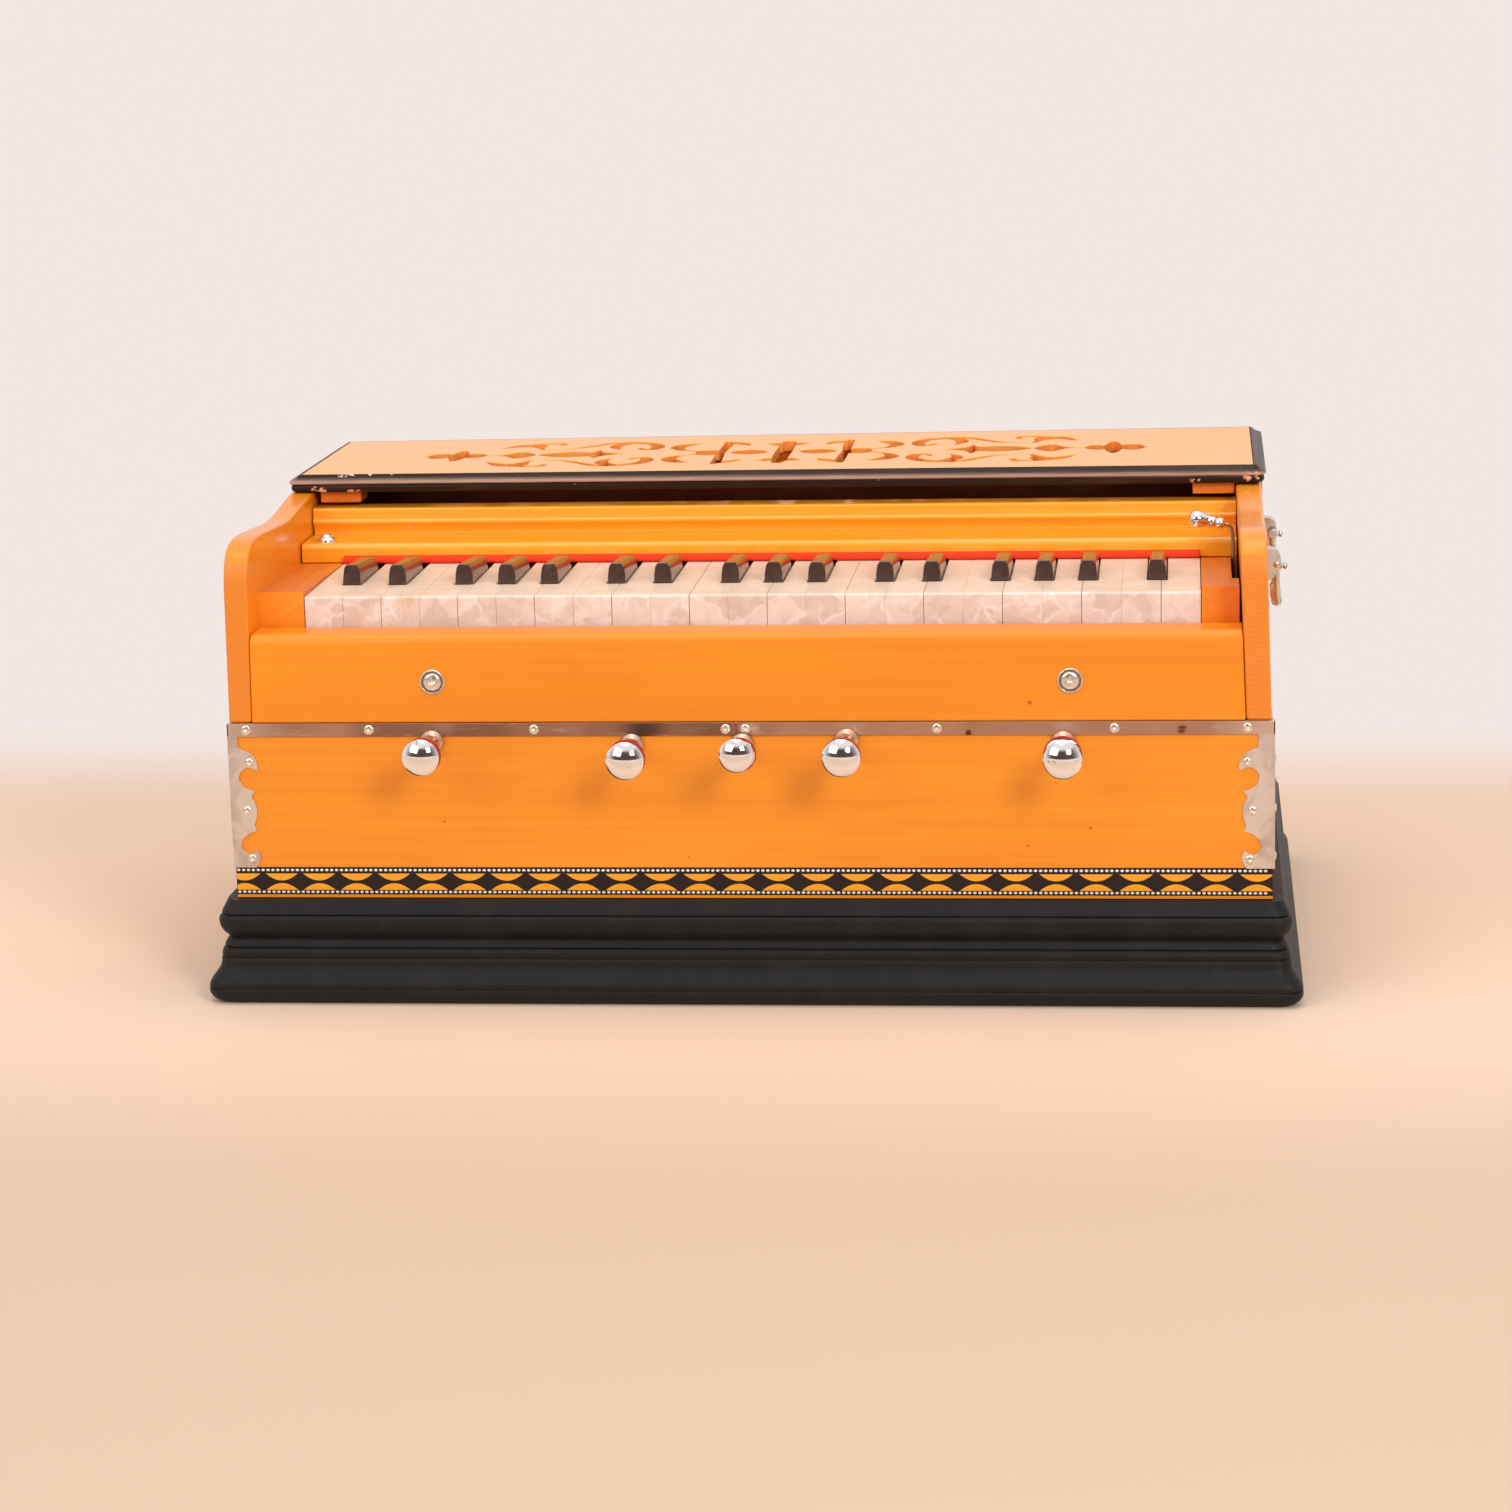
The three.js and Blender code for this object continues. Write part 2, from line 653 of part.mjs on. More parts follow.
// White key: stick and pearl cover in one, notched beside the black keys
function makeWhiteKey(white) {
  const coverEnd = railFront - coverEndGap;
  const shape = new THREE.Shape();
  shape.moveTo(keyFront, keyBottom);
  shape.lineTo(keyRear, keyBottom);
  shape.lineTo(keyRear, stickTop);
  shape.lineTo(coverEnd, stickTop);
  shape.lineTo(coverEnd, keyTop);
  shape.absarc(keyFront + whiteEdgeRound, keyTop - whiteEdgeRound, whiteEdgeRound, Math.PI / 2, Math.PI);
  const x0 = white.centre - (whitePitch - keyGap) / 2;
  const x1 = white.centre + (whitePitch - keyGap) / 2;
  const body = new THREE.ExtrudeGeometry(shape, { depth: x1 - x0, bevelEnabled: false, curveSegments: 2 });
  body.applyMatrix4(new THREE.Matrix4().makeBasis(along.y, along.z, along.x));
  body.translate(x0, 0, 0);
  const notchFront = keyFront + blackFrontReach - blackFrontGap;
  const notches = [];
  if (white.tail[0] > x0 + seatGap) {
    notches.push(block(
      x0 - cutOverrun, white.tail[0], notchFront, keyRear + cutOverrun,
      keyBottom - cutOverrun, keyTop + cutOverrun,
    ));
  }
  if (white.tail[1] < x1 - seatGap) {
    notches.push(block(
      white.tail[1], x1 + cutOverrun, notchFront, keyRear + cutOverrun,
      keyBottom - cutOverrun, keyTop + cutOverrun,
    ));
  }
  return join([cut(toSolid(body), notches), ...keyTailFittings(...white.tail)]);
}

// Black key: a plain stick under a tapered cap that falls towards the back
function makeBlackKey(black) {
  const front = keyFront + blackFrontReach;
  const stick = block(...black.tail, front, keyRear, keyBottom, stickTop);
  const half = blackStickWidth / 2;
  const section = (y, lean, rise) => {
    const right = blackSectionShares.map(([w, h]) => [
      black.centre + half * w, y + lean * h, keyTop + rise * h,
    ]);
    const left = [...blackSectionShares].reverse().map(([w, h]) => [
      black.centre - half * w, y + lean * h, keyTop + rise * h,
    ]);
    const base = [
      [black.centre - half, y, stickTop - cutOverrun],
      [black.centre + half, y, stickTop - cutOverrun],
    ];
    return [...right, ...left, ...base];
  };
  const cap = loft([
    section(front + blackCapLength, -blackCapLean, blackCapRise - blackCapFall),
    section(front, blackCapLean, blackCapRise),
  ]);
  return join([stick, cap, ...keyTailFittings(...black.tail)]);
}

// Key pan: sound board with a pallet hole under each key, a skirt on the case walls, the
// balance rail, the blocks beside the keys, which rise a little towards the front, and the slot
// for the coupler lever
function makeKeyPan() {
  const side = wellSide - seatGap;
  const pan = block(-side, side, panFront, panBack, upperBottom, panTop);
  const hollow = block(
    -side + panSkirt, side - panSkirt, panFront + panSkirt, panBack - panSkirt,
    upperBottom - cutOverrun, panTop - soundBoardThickness,
  );
  const balanceRail = sideProfile(shapeOf([
    [keyPivot - balanceRailFoot / 2, panTop - cutOverrun],
    [keyPivot + balanceRailFoot / 2, panTop - cutOverrun],
    [keyPivot + balanceRailFoot / 2, panTop + palletThickness / 2],
    [keyPivot + balanceRailCrest / 2, keyBottom - seatGap],
    [keyPivot - balanceRailCrest / 2, keyBottom - seatGap],
    [keyPivot - balanceRailFoot / 2, panTop + palletThickness / 2],
  ]), keysLeft, keysRight);
  const blockTop = keyTop + blockRise;
  const leftEdge = keysLeft - keyGap / 2;
  const rightEdge = keysRight + keyGap / 2;
  const blockFace = shapeOf([
    [keyFront, panTop - cutOverrun], [railBack, panTop - cutOverrun], [railBack, blockTop],
    [railFront, blockTop], [keyFront, blockTop + blockFrontRise],
  ]);
  const leftBlock = sideProfile(blockFace, -side, leftEdge);
  const rightBlock = sideProfile(blockFace, rightEdge, rightEdge + rightBlockWidth);
  const slotBack = railFront + leverBehindRail + leverHubRadius + seatGap;
  const slotFloor = panTop - leverPivotBelowPan - leverHubRadius - seatGap;
  const slot = block(
    leverPlace - leverSlotWidth / 2, leverPlace + leverSlotWidth / 2,
    slotBack - leverSlotLength, slotBack, slotFloor, blockTop + blockFrontRise + cutOverrun,
  );
  const holeBack = keyRear - palletInset - (palletLength - palletHoleLength) / 2;
  const holes = [...keys.whites, ...keys.blacks].map(({ tail }) => {
    const middle = (tail[0] + tail[1]) / 2;
    return block(
      middle - palletHoleWidth / 2, middle + palletHoleWidth / 2, holeBack - palletHoleLength, holeBack,
      panTop - soundBoardThickness - cutOverrun, panTop + cutOverrun,
    );
  });
  return cut(join([pan, balanceRail, leftBlock, rightBlock]), [hollow, slot, ...holes]);
}

// Fall rail: a ledge and a coved riser over the keys, its feet on the end blocks and a strip of
// felt under its front edge
function makeFallRail() {
  const coveTop = ledgeTop + riserCoveShare * riserHeight;
  const shape = new THREE.Shape();
  shape.moveTo(railFront, ledgeBottom);
  shape.lineTo(railBack, ledgeBottom);
  shape.lineTo(railBack, riserTop);
  shape.lineTo(riserFront + riserLean + riserRound, riserTop);
  shape.quadraticCurveTo(riserFront + riserLean, riserTop, riserFront + riserLean, riserTop - riserRound);
  shape.lineTo(riserFront, coveTop);
  shape.quadraticCurveTo(riserFront + riserCove, coveTop, riserFront + riserCove, ledgeTop);
  shape.lineTo(railFront + ledgeRound, ledgeTop);
  shape.absarc(railFront + ledgeRound, ledgeTop - ledgeRound, ledgeRound, Math.PI / 2, Math.PI);
  const end = wellSide - railEndGap;
  const rail = sideProfile(shape, -end, end);
  const footTop = ledgeTop - ledgeRound;
  const leftFoot = block(-end, keysLeft - keyGap / 2, railFront, railBack, feltBottom, footTop);
  const rightFoot = block(keysRight + keyGap / 2, end, railFront, railBack, feltBottom, footTop);
  const felt = block(
    keysLeft, keysRight, railFront + feltSetBack, railFront + feltDepth, feltBottom, ledgeBottom + ledgeRound,
  );
  return join([rail, leftFoot, rightFoot, felt]);
}

// Nickel band along the joint of the cases, with a scalloped plate round each front corner
function makeNickelBand() {
  const front = caseFront - seatGap;
  const side = caseSide + seatGap;
  const plateTop = lowerCaseTop - bandHeight;
  const strip = block(-side, side, front - bandThickness, front, plateTop, lowerCaseTop);
  const pieces = [strip];
  const edge = plateEdgeShares.map(([u, v]) => [u * plateReach, plateTop - v * plateDrop]);
  const lap = [0, plateTop + bandHeight / 2];
  const outline = [
    ...edge, [-bandThickness, plateTop - plateDrop], [-bandThickness, lap[1]], [edge[0][0], lap[1]],
  ];
  for (const sign of [-1, 1]) {
    const facing = outline.map(([u, v]) => [sign * (side - u), v]);
    pieces.push(frontProfile(shapeOf(facing), front - bandThickness, front));
    const returning = outline.map(([u, v]) => [front + u, v]);
    const x0 = sign > 0 ? side : -side - bandThickness;
    pieces.push(sideProfile(shapeOf(returning), x0, x0 + bandThickness));
  }
  return join(pieces);
}

// Lid fretwork

// A brush stroke along a smooth line, as a closed outline whose width follows the line.
function strokeOutline(stroke, signX, signY) {
  const line = new THREE.CatmullRomCurve3(stroke.map(([u, v]) => new THREE.Vector3(
    signX * u * fretReach, signY * v * fretRise, 0,
  )), false, 'centripetal');
  const widths = new THREE.CatmullRomCurve3(
    stroke.map(([, , w], k) => new THREE.Vector3(k, w * fretRise, 0)),
  );
  const steps = (stroke.length - 1) * fretCurveSteps;
  const left = [];
  const right = [];
  for (let k = 0; k <= steps; k += 1) {
    const centre = line.getPoint(k / steps);
    const heading = line.getTangent(k / steps);
    const half = widths.getPoint(k / steps).y;
    left.push([centre.x - heading.y * half, centre.y + heading.x * half]);
    right.unshift([centre.x + heading.y * half, centre.y - heading.x * half]);
  }
  return [...left, ...right];
}

// An outline that is the same above and below the pattern's middle line.
function levelOutline(outline, sign) {
  const upper = outline.map(([u, w]) => [sign * u * fretReach, w * fretRise]);
  const lower = [...upper].reverse().map(([x, y]) => [x, -y]);
  return [...upper, ...lower];
}

function fretTool(points) {
  const z0 = lidTop - lidPanelThickness - cutOverrun;
  const outline = shapeOf(points.map(([x, y]) => [x, lidCentre + y]));
  return planProfile(outline, z0, lidTop + cutOverrun);
}

function makeFretTools() {
  const tools = [];
  for (const signY of [1, -1]) {
    tools.push(fretTool(strokeOutline(centreBarShares, 1, signY)));
    for (const signX of [1, -1]) {
      const strokes = [
        centreBarbShares, stemShares, innerBarbShares, outerScrollShares, crescentShares,
        crescentLeafShares, tailLeafShares, tailHookShares,
      ];
      for (const stroke of strokes) tools.push(fretTool(strokeOutline(stroke, signX, signY)));
    }
  }
  const outlines = [
    lensOutlineShares, stemBossOutlineShares, arrowOutlineShares, vaseOutlineShares, spearOutlineShares,
  ];
  for (const sign of [1, -1]) {
    for (const outline of outlines) tools.push(fretTool(levelOutline(outline, sign)));
  }
  return tools;
}

// A frame with mitred corners: its section is drawn as [distance out, height].
function mitredFrame(section, halfX, halfY, centreY) {
  const corners = [[1, 1], [-1, 1], [-1, -1], [1, -1]];
  const positions = [];
  for (const [signX, signY] of corners) {
    for (const [out, z] of section) {
      positions.push(signX * (halfX + out), centreY + signY * (halfY + out), z);
    }
  }
  const count = section.length;
  const index = [];
  for (let corner = 0; corner < corners.length; corner += 1) {
    const next = (corner + 1) % corners.length;
    for (let k = 0; k < count; k += 1) {
      const a = corner * count + k;
      const b = corner * count + (k + 1) % count;
      const c = next * count + (k + 1) % count;
      const d = next * count + k;
      index.push(a, d, c, a, c, b);
    }
  }
  const geometry = new THREE.BufferGeometry();
  geometry.setAttribute('position', new THREE.BufferAttribute(new Float32Array(positions), 3));
  geometry.setIndex(index);
  return toSolid(geometry);
}

function makeLid() {
  const halfX = lidPanelWidth / 2;
  const halfY = lidPanelDepth / 2;
  const panel = block(
    -halfX, halfX, lidCentre - halfY, lidCentre + halfY, lidTop - lidPanelThickness, lidTop,
  );
  const section = [
    [-mouldingBacking, lidBottom],
    ...mouldingProfileShares.map(([out, up]) => [out * mouldingReach, lidBottom + up * mouldingHeight]),
    [-mouldingBacking, lidTop],
  ];
  const moulding = mitredFrame(section, halfX, halfY, lidCentre);
  const outer = wellSide - lidBlockSideGap;
  const underPanel = lidTop - lidPanelThickness + cutOverrun;
  const frontPlace = lidCentre - halfY;
  const backPlace = backWallFront - lidBlockBackGap - lidBlockDepth;
  const blocks = [];
  for (const y of [frontPlace, backPlace]) {
    for (const sign of [-1, 1]) {
      const x0 = sign > 0 ? outer - lidBlockWidth : -outer;
      blocks.push(block(
        x0, x0 + lidBlockWidth, y, y + lidBlockDepth, riserTop + lidBlockClearance, underPanel,
      ));
    }
  }
  const fretted = panel.subtract(join(makeFretTools()));
  return join([fretted, moulding, ...blocks]);
}

// Stop knob: a ball on a waisted neck with a ring behind it, a flange at the panel and a rod
// into the chest. It is turned about its own axis, which then points at the player.
function makeStop(ballRadius) {
  const flangeBack = bandThickness + 2 * seatGap;
  const flangeFront = flangeBack + stopFlangeThickness;
  const ringRadius = stopRingShare * ballRadius;
  const ballBack = Math.sqrt(ballRadius ** 2 - ringRadius ** 2);
  const ringFront = stopReach - ballBack;
  const ringBack = ringFront - stopRingWidth;
  const neckLength = ringBack - flangeFront;
  const points = [
    [0, -wallThickness - stopRodInside],
    [stopRodRadius, -wallThickness - stopRodInside],
    [stopRodRadius, flangeBack],
    ...stopFlangeShares.map(([r, y]) => [r * stopFlangeRadius, flangeBack + y * stopFlangeThickness]),
    [stopNeckRadius, flangeFront + stopNeckShares.start * neckLength],
    [stopNeckRadius, flangeFront + stopNeckShares.end * neckLength],
    [stopNeckShares.flareRadius * ringRadius, flangeFront + stopNeckShares.flare * neckLength],
    [ringRadius, ringBack],
    [ringRadius, ringFront],
  ];
  const start = Math.atan2(ringRadius, -ballBack);
  for (let k = 1; k < stopBallSteps; k += 1) {
    const angle = start * (1 - k / stopBallSteps);
    points.push([ballRadius * Math.sin(angle), stopReach + ballRadius * Math.cos(angle)]);
  }
  points.push([0, stopReach + ballRadius]);
  return toSolid(turned(points, stopSides));
}

// Coupler lever: a wire that rocks fore and aft in its slot, with a turned handle
function makeLever() {
  const handleStart = leverHandleShares.collarStart * leverHandleLength;
  const handleEnd = leverHandleLength - leverBallRadius;
  const waist = leverHandleShares.waist * leverHandleLength;
  const collarEnd = leverHandleShares.collarEnd * leverHandleLength;
  const ballSpread = leverBallRadius * Math.SQRT1_2;
  const handle = turned([
    [0, 0],
    [leverWireRadius, 0],
    [leverWireRadius, handleStart],
    [leverCollarRadius, handleStart + leverWireRadius],
    [leverCollarRadius, collarEnd - leverWireRadius],
    [leverWaistRadius, waist],
    [ballSpread, handleEnd - ballSpread],
    [leverBallRadius, handleEnd],
    [ballSpread, handleEnd + ballSpread],
    [0, leverHandleLength],
  ], leverSides);
  handle.rotateZ(Math.PI / 2);
  handle.translate(0, 0, leverRise);
  const wire = rod([0, 0, 0], [0, 0, leverRise + leverWireRadius], leverWireRadius, leverSides);
  const hub = rod([-leverHubRadius, 0, 0], [leverHubRadius, 0, 0], leverHubRadius, leverSides);
  return join([toSolid(handle), wire, hub]);
}

// Bellows folds, closed: a stack of pleats between the back wall and the pump board
function makeFolds() {
  const rings = [];
  const leaves = foldCount * 2;
  const halfHeight = (boardHeight - foldInset) / 2;
  for (let k = 0; k <= leaves; k += 1) {
    const inset = foldSideInset + (k % 2 ? foldInset : 0);
    rings.push(squareRing(caseSide - inset, halfHeight - inset, k * foldPackDepth / leaves));
  }
  return loft(rings);
}

// Pump board with its bevelled back edge, intake holes, hinge barrels and catch studs, drawn
// about its own hinge line
function makePumpBoard() {
  const half = boardHeight / 2;
  const panel = loft([
    squareRing(caseSide, half, 0),
    squareRing(caseSide, half, boardThickness - boardEdge),
    squareRing(caseSide - boardEdge, half - boardEdge, boardThickness),
  ]).rotate([-90, 0, 0]).translate([0, -boardThickness, half]);
  const holes = [];
  for (const across of intakePlaceShares) {
    for (const up of intakeHeightShares) {
      const x = across * caseSide;
      const z = up * boardHeight;
      holes.push(rod(
        [x, -boardThickness - cutOverrun, z], [x, cutOverrun, z], intakeRadius, intakeSides,
      ));
    }
  }
  const barrels = hingePlaceShares.map((share) => rod(
    [share * caseSide - hingeLength / 2, 0, 0], [share * caseSide + hingeLength / 2, 0, 0],
    hingeRadius, hingeSides,
  ));
  const studHeight = catchHeight - hingeHeight;
  const studs = [-1, 1].map((sign) => rod(
    [sign * (caseSide - catchStudReach), -catchStudInset, studHeight],
    [sign * (caseSide + catchStudReach), -catchStudInset, studHeight],
    catchStudRadius,
    hingeSides,
  ));
  return join([cut(panel, holes), ...barrels, ...studs]);
}

// Bail of a carrying handle, hanging from its pins, drawn about the pins' axis
function makeBail() {
  const half = bailPathShares.map(([out, down]) => [out * bailHalfSpan, -down * bailDrop]);
  half.push([gripLength / 2, -bailDrop]);
  const path = [...half, ...[...half].reverse().map(([y, z]) => [-y, z])];
  const line = new THREE.CatmullRomCurve3(
    path.map(([y, z]) => new THREE.Vector3(0, y, z)), false, 'centripetal',
  );
  const section = new THREE.Shape();
  section.absarc(0, 0, bailRadius, 0, 2 * Math.PI);
  const wire = new THREE.ExtrudeGeometry(section, {
    extrudePath: line, steps: bailSteps, curveSegments: bailSides, bevelEnabled: false,
  });
  const grip = turned([
    [0, -gripLength / 2], [bailRadius, -gripLength / 2], [gripRadius, -gripLength / 4],
    [gripRadius, gripLength / 4], [bailRadius, gripLength / 2], [0, gripLength / 2],
  ], bailSides);
  grip.translate(0, 0, -bailDrop);
  const pieces = [toSolid(wire), toSolid(grip)];
  for (const end of [-1, 1]) {
    const eye = end * (bailHalfSpan - bailPinLength / 2);
    const shoulder = end * (bailHalfSpan + bailPinLength / 2);
    pieces.push(rod([0, eye, 0], [0, shoulder, 0], bailShoulderRadius, lugSides));
    pieces.push(rod([0, eye, 0], [0, shoulder + end * bailPinLength, 0], bailPinRadius, lugSides));
  }
  return join(pieces);
}

// Bellows catch, hanging free: a hook whose notch opens towards the player, so that it opens
// downwards once the hook has been swung over onto the stud
function makeCatch() {
  const half = catchWidth / 2;
  const notch = catchStudRadius + catchNotchClearance;
  const shape = new THREE.Shape();
  shape.absarc(0, 0, catchHeadRadius, -Math.PI / 3, Math.PI * 4 / 3);
  shape.lineTo(-half, -catchLength + notch);
  shape.lineTo(0, -catchLength + notch);
  shape.absarc(0, -catchLength, notch, Math.PI / 2, -Math.PI / 2, true);
  shape.lineTo(-half, -catchLength - notch);
  shape.absarc(0, -catchLength - notch, half, Math.PI, 1.9 * Math.PI);
  return sideProfile(shape, 0, catchThickness);
}

// Assembly
const windCase = subGroup(model);
addPiece(windCase, 'base_plinth', makePlinth(), 'blackPaint');
addPiece(windCase, 'lower_case', makeLowerCase(), 'varnishedWood');
addPiece(windCase, 'left_cheek', makeCheek(-1), 'varnishedWood');
addPiece(windCase, 'right_cheek', makeCheek(1), 'varnishedWood');
addPiece(windCase, 'front_board', makeFrontBoard(), 'varnishedWood');
addPiece(windCase, 'key_pan', makeKeyPan(), 'varnishedWood');
addPiece(windCase, 'fall_rail', makeFallRail(), 'varnishedWood');
addPiece(windCase, 'nickel_band', makeNickelBand(), 'nickel');
addPiece(model, 'lid', makeLid(), 'varnishedWood');

const stops = subGroup(model);
stops.position.set(0, caseFront, stopHeight);
stopPlaces.forEach((x, k) => {
  const knob = addPiece(stops, `stop_knob_${k + 1}`, makeStop(stopSizeShares[k] * stopBallRadius), 'chrome');
  knob.position.x = x;
  knob.rotation.x = Math.PI;
});

const lever = addPiece(model, 'coupler_lever', makeLever(), 'chrome');
lever.position.set(leverPlace, railFront + leverBehindRail, panTop - leverPivotBelowPan);

const bellows = subGroup(model);
const folds = addPiece(bellows, 'bellows_folds', makeFolds(), 'foldCloth');
folds.rotation.x = -Math.PI / 2;
folds.position.set(0, foldFront, hingeHeight + boardHeight / 2);
const pumpBoard = addPiece(bellows, 'bellows_board', makePumpBoard(), 'varnishedWood');
pumpBoard.position.set(0, caseBack, hingeHeight);

const fittings = subGroup(model);
for (const [name, sign] of [['left', -1], ['right', 1]]) {
  const bail = addPiece(fittings, `handle_${name}`, makeBail(), 'chrome');
  bail.position.set(sign * (caseSide + bailStand), handlePlace, handleHeight);
  const hook = addPiece(fittings, `catch_${name}`, makeCatch(), 'nickel');
  const hookX = caseSide + seatGap;
  hook.position.set(
    sign > 0 ? hookX : -hookX - catchThickness,
    caseBack - catchStudInset - catchLength,
    catchHeight,
  );
}

const keyboard = subGroup(model);
const numbered = (k) => String(k + 1).padStart(2, '0');
keys.whites.forEach((white, k) => {
  addPiece(keyboard, `white_key_${numbered(k)}`, makeWhiteKey(white), 'pearl');
});
keys.blacks.forEach((black, k) => {
  addPiece(keyboard, `black_key_${numbered(k)}`, makeBlackKey(black), 'blackKey');
});

export default model;
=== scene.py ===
"""Looks of an Indian harmonium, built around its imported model.

Sizes are millimetres until a mesh is made, in the model's own frame: +X is to the player's
right, +Y away from the player, +Z up, and z is 0 under the plinth.
"""

from math import cos, hypot, pi, radians, sin, sqrt

import bmesh
import bpy
from mathutils import Matrix, Vector
from mathutils.geometry import delaunay_2d_cdt


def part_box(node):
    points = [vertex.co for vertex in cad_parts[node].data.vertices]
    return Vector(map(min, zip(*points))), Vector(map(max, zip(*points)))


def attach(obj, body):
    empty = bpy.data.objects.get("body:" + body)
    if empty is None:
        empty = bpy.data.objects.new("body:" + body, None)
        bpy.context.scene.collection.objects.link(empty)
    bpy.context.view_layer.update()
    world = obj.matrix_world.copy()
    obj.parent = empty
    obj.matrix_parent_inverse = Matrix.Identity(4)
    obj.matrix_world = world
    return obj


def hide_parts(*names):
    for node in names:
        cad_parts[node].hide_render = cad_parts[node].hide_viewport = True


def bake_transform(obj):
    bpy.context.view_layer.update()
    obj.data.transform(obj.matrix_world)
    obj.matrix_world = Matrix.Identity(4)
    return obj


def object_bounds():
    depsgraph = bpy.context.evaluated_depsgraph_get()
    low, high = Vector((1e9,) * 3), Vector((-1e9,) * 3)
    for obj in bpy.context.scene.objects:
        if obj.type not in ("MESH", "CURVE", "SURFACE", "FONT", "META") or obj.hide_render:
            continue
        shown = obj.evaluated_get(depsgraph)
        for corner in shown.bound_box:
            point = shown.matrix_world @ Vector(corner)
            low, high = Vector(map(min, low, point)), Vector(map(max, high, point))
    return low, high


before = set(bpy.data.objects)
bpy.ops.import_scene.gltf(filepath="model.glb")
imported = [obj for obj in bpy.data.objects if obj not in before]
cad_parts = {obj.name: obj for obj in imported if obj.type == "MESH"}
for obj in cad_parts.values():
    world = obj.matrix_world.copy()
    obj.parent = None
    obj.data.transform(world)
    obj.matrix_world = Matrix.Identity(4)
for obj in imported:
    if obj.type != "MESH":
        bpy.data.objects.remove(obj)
cad_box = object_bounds()
cad_box = [[float(v) for v in corner] for corner in cad_box]

MM = 0.001


def box(node):
    low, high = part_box(node)
    return low / MM, high / MM


# Places taken from the model
lower_low, lower_high = box("lower_case")
rail_low, rail_high = box("fall_rail")
lid_low, lid_high = box("lid")
folds_low, folds_high = box("bellows_folds")
PAN_TOP = box("key_pan")[1].z
BOARD_FOOT = box("bellows_board")[0].z
KEYS_FRONT = box("white_key_01")[0].y
BAND_TOP = box("nickel_band")[1].z
SIDE = lower_high.x
FRONT = lower_low.y

SIDES = (("left", -1), ("right", 1))
WHITES = [f"white_key_{k:02d}" for k in range(1, 24)]
BLACKS = [f"black_key_{k:02d}" for k in range(1, 17)]
STOPS = [f"stop_knob_{k}" for k in range(1, 6)]


# Materials


class Nodes:
    """A node tree with helpers that add nodes to it."""

    def __init__(self, tree):
        self.tree = tree

    def node(self, kind, **settings):
        made = self.tree.nodes.new("ShaderNode" + kind)
        for key, value in settings.items():
            setattr(made, key, value)
        return made

    def link(self, output, socket):
        self.tree.links.new(output, socket)

    def set(self, socket, value):
        if hasattr(value, "is_output"):
            self.link(value, socket)
        elif isinstance(value, tuple) and len(value) == 3 and socket.type == "RGBA":
            socket.default_value = (*value, 1)
        else:
            socket.default_value = value

    def feed(self, made, *values):
        """Sets or links a node's first inputs, and gives its first output."""
        for socket, value in zip(made.inputs, values):
            self.set(socket, value)
        return made.outputs[0]

    def math(self, operation, *values, clamp=False):
        return self.feed(self.node("Math", operation=operation, use_clamp=clamp), *values)

    def times(self, a, b):
        return self.math("MULTIPLY", a, b)

    def most(self, a, b):
        return self.math("MAXIMUM", a, b)

    def between(self, value, low, high):
        """0 below low, 1 above high, smooth between."""
        made = self.node("MapRange", interpolation_type="SMOOTHSTEP")
        made.inputs["From Min"].default_value = low
        made.inputs["From Max"].default_value = high
        self.set(made.inputs["Value"], value)
        return made.outputs[0]

    def under(self, value, low, high):
        """1 below low, 0 above high, smooth between."""
        return self.math("SUBTRACT", 1.0, self.between(value, low, high))

    def spread(self, value, low, high):
        """A 0 to 1 value spread from low to high."""
        return self.math("MULTIPLY_ADD", value, high - low, low)

    def mix(self, factor, a, b):
        made = self.node("Mix", data_type="RGBA")
        for index, value in ((0, factor), (6, a), (7, b)):
            self.set(made.inputs[index], value)
        return made.outputs[2]


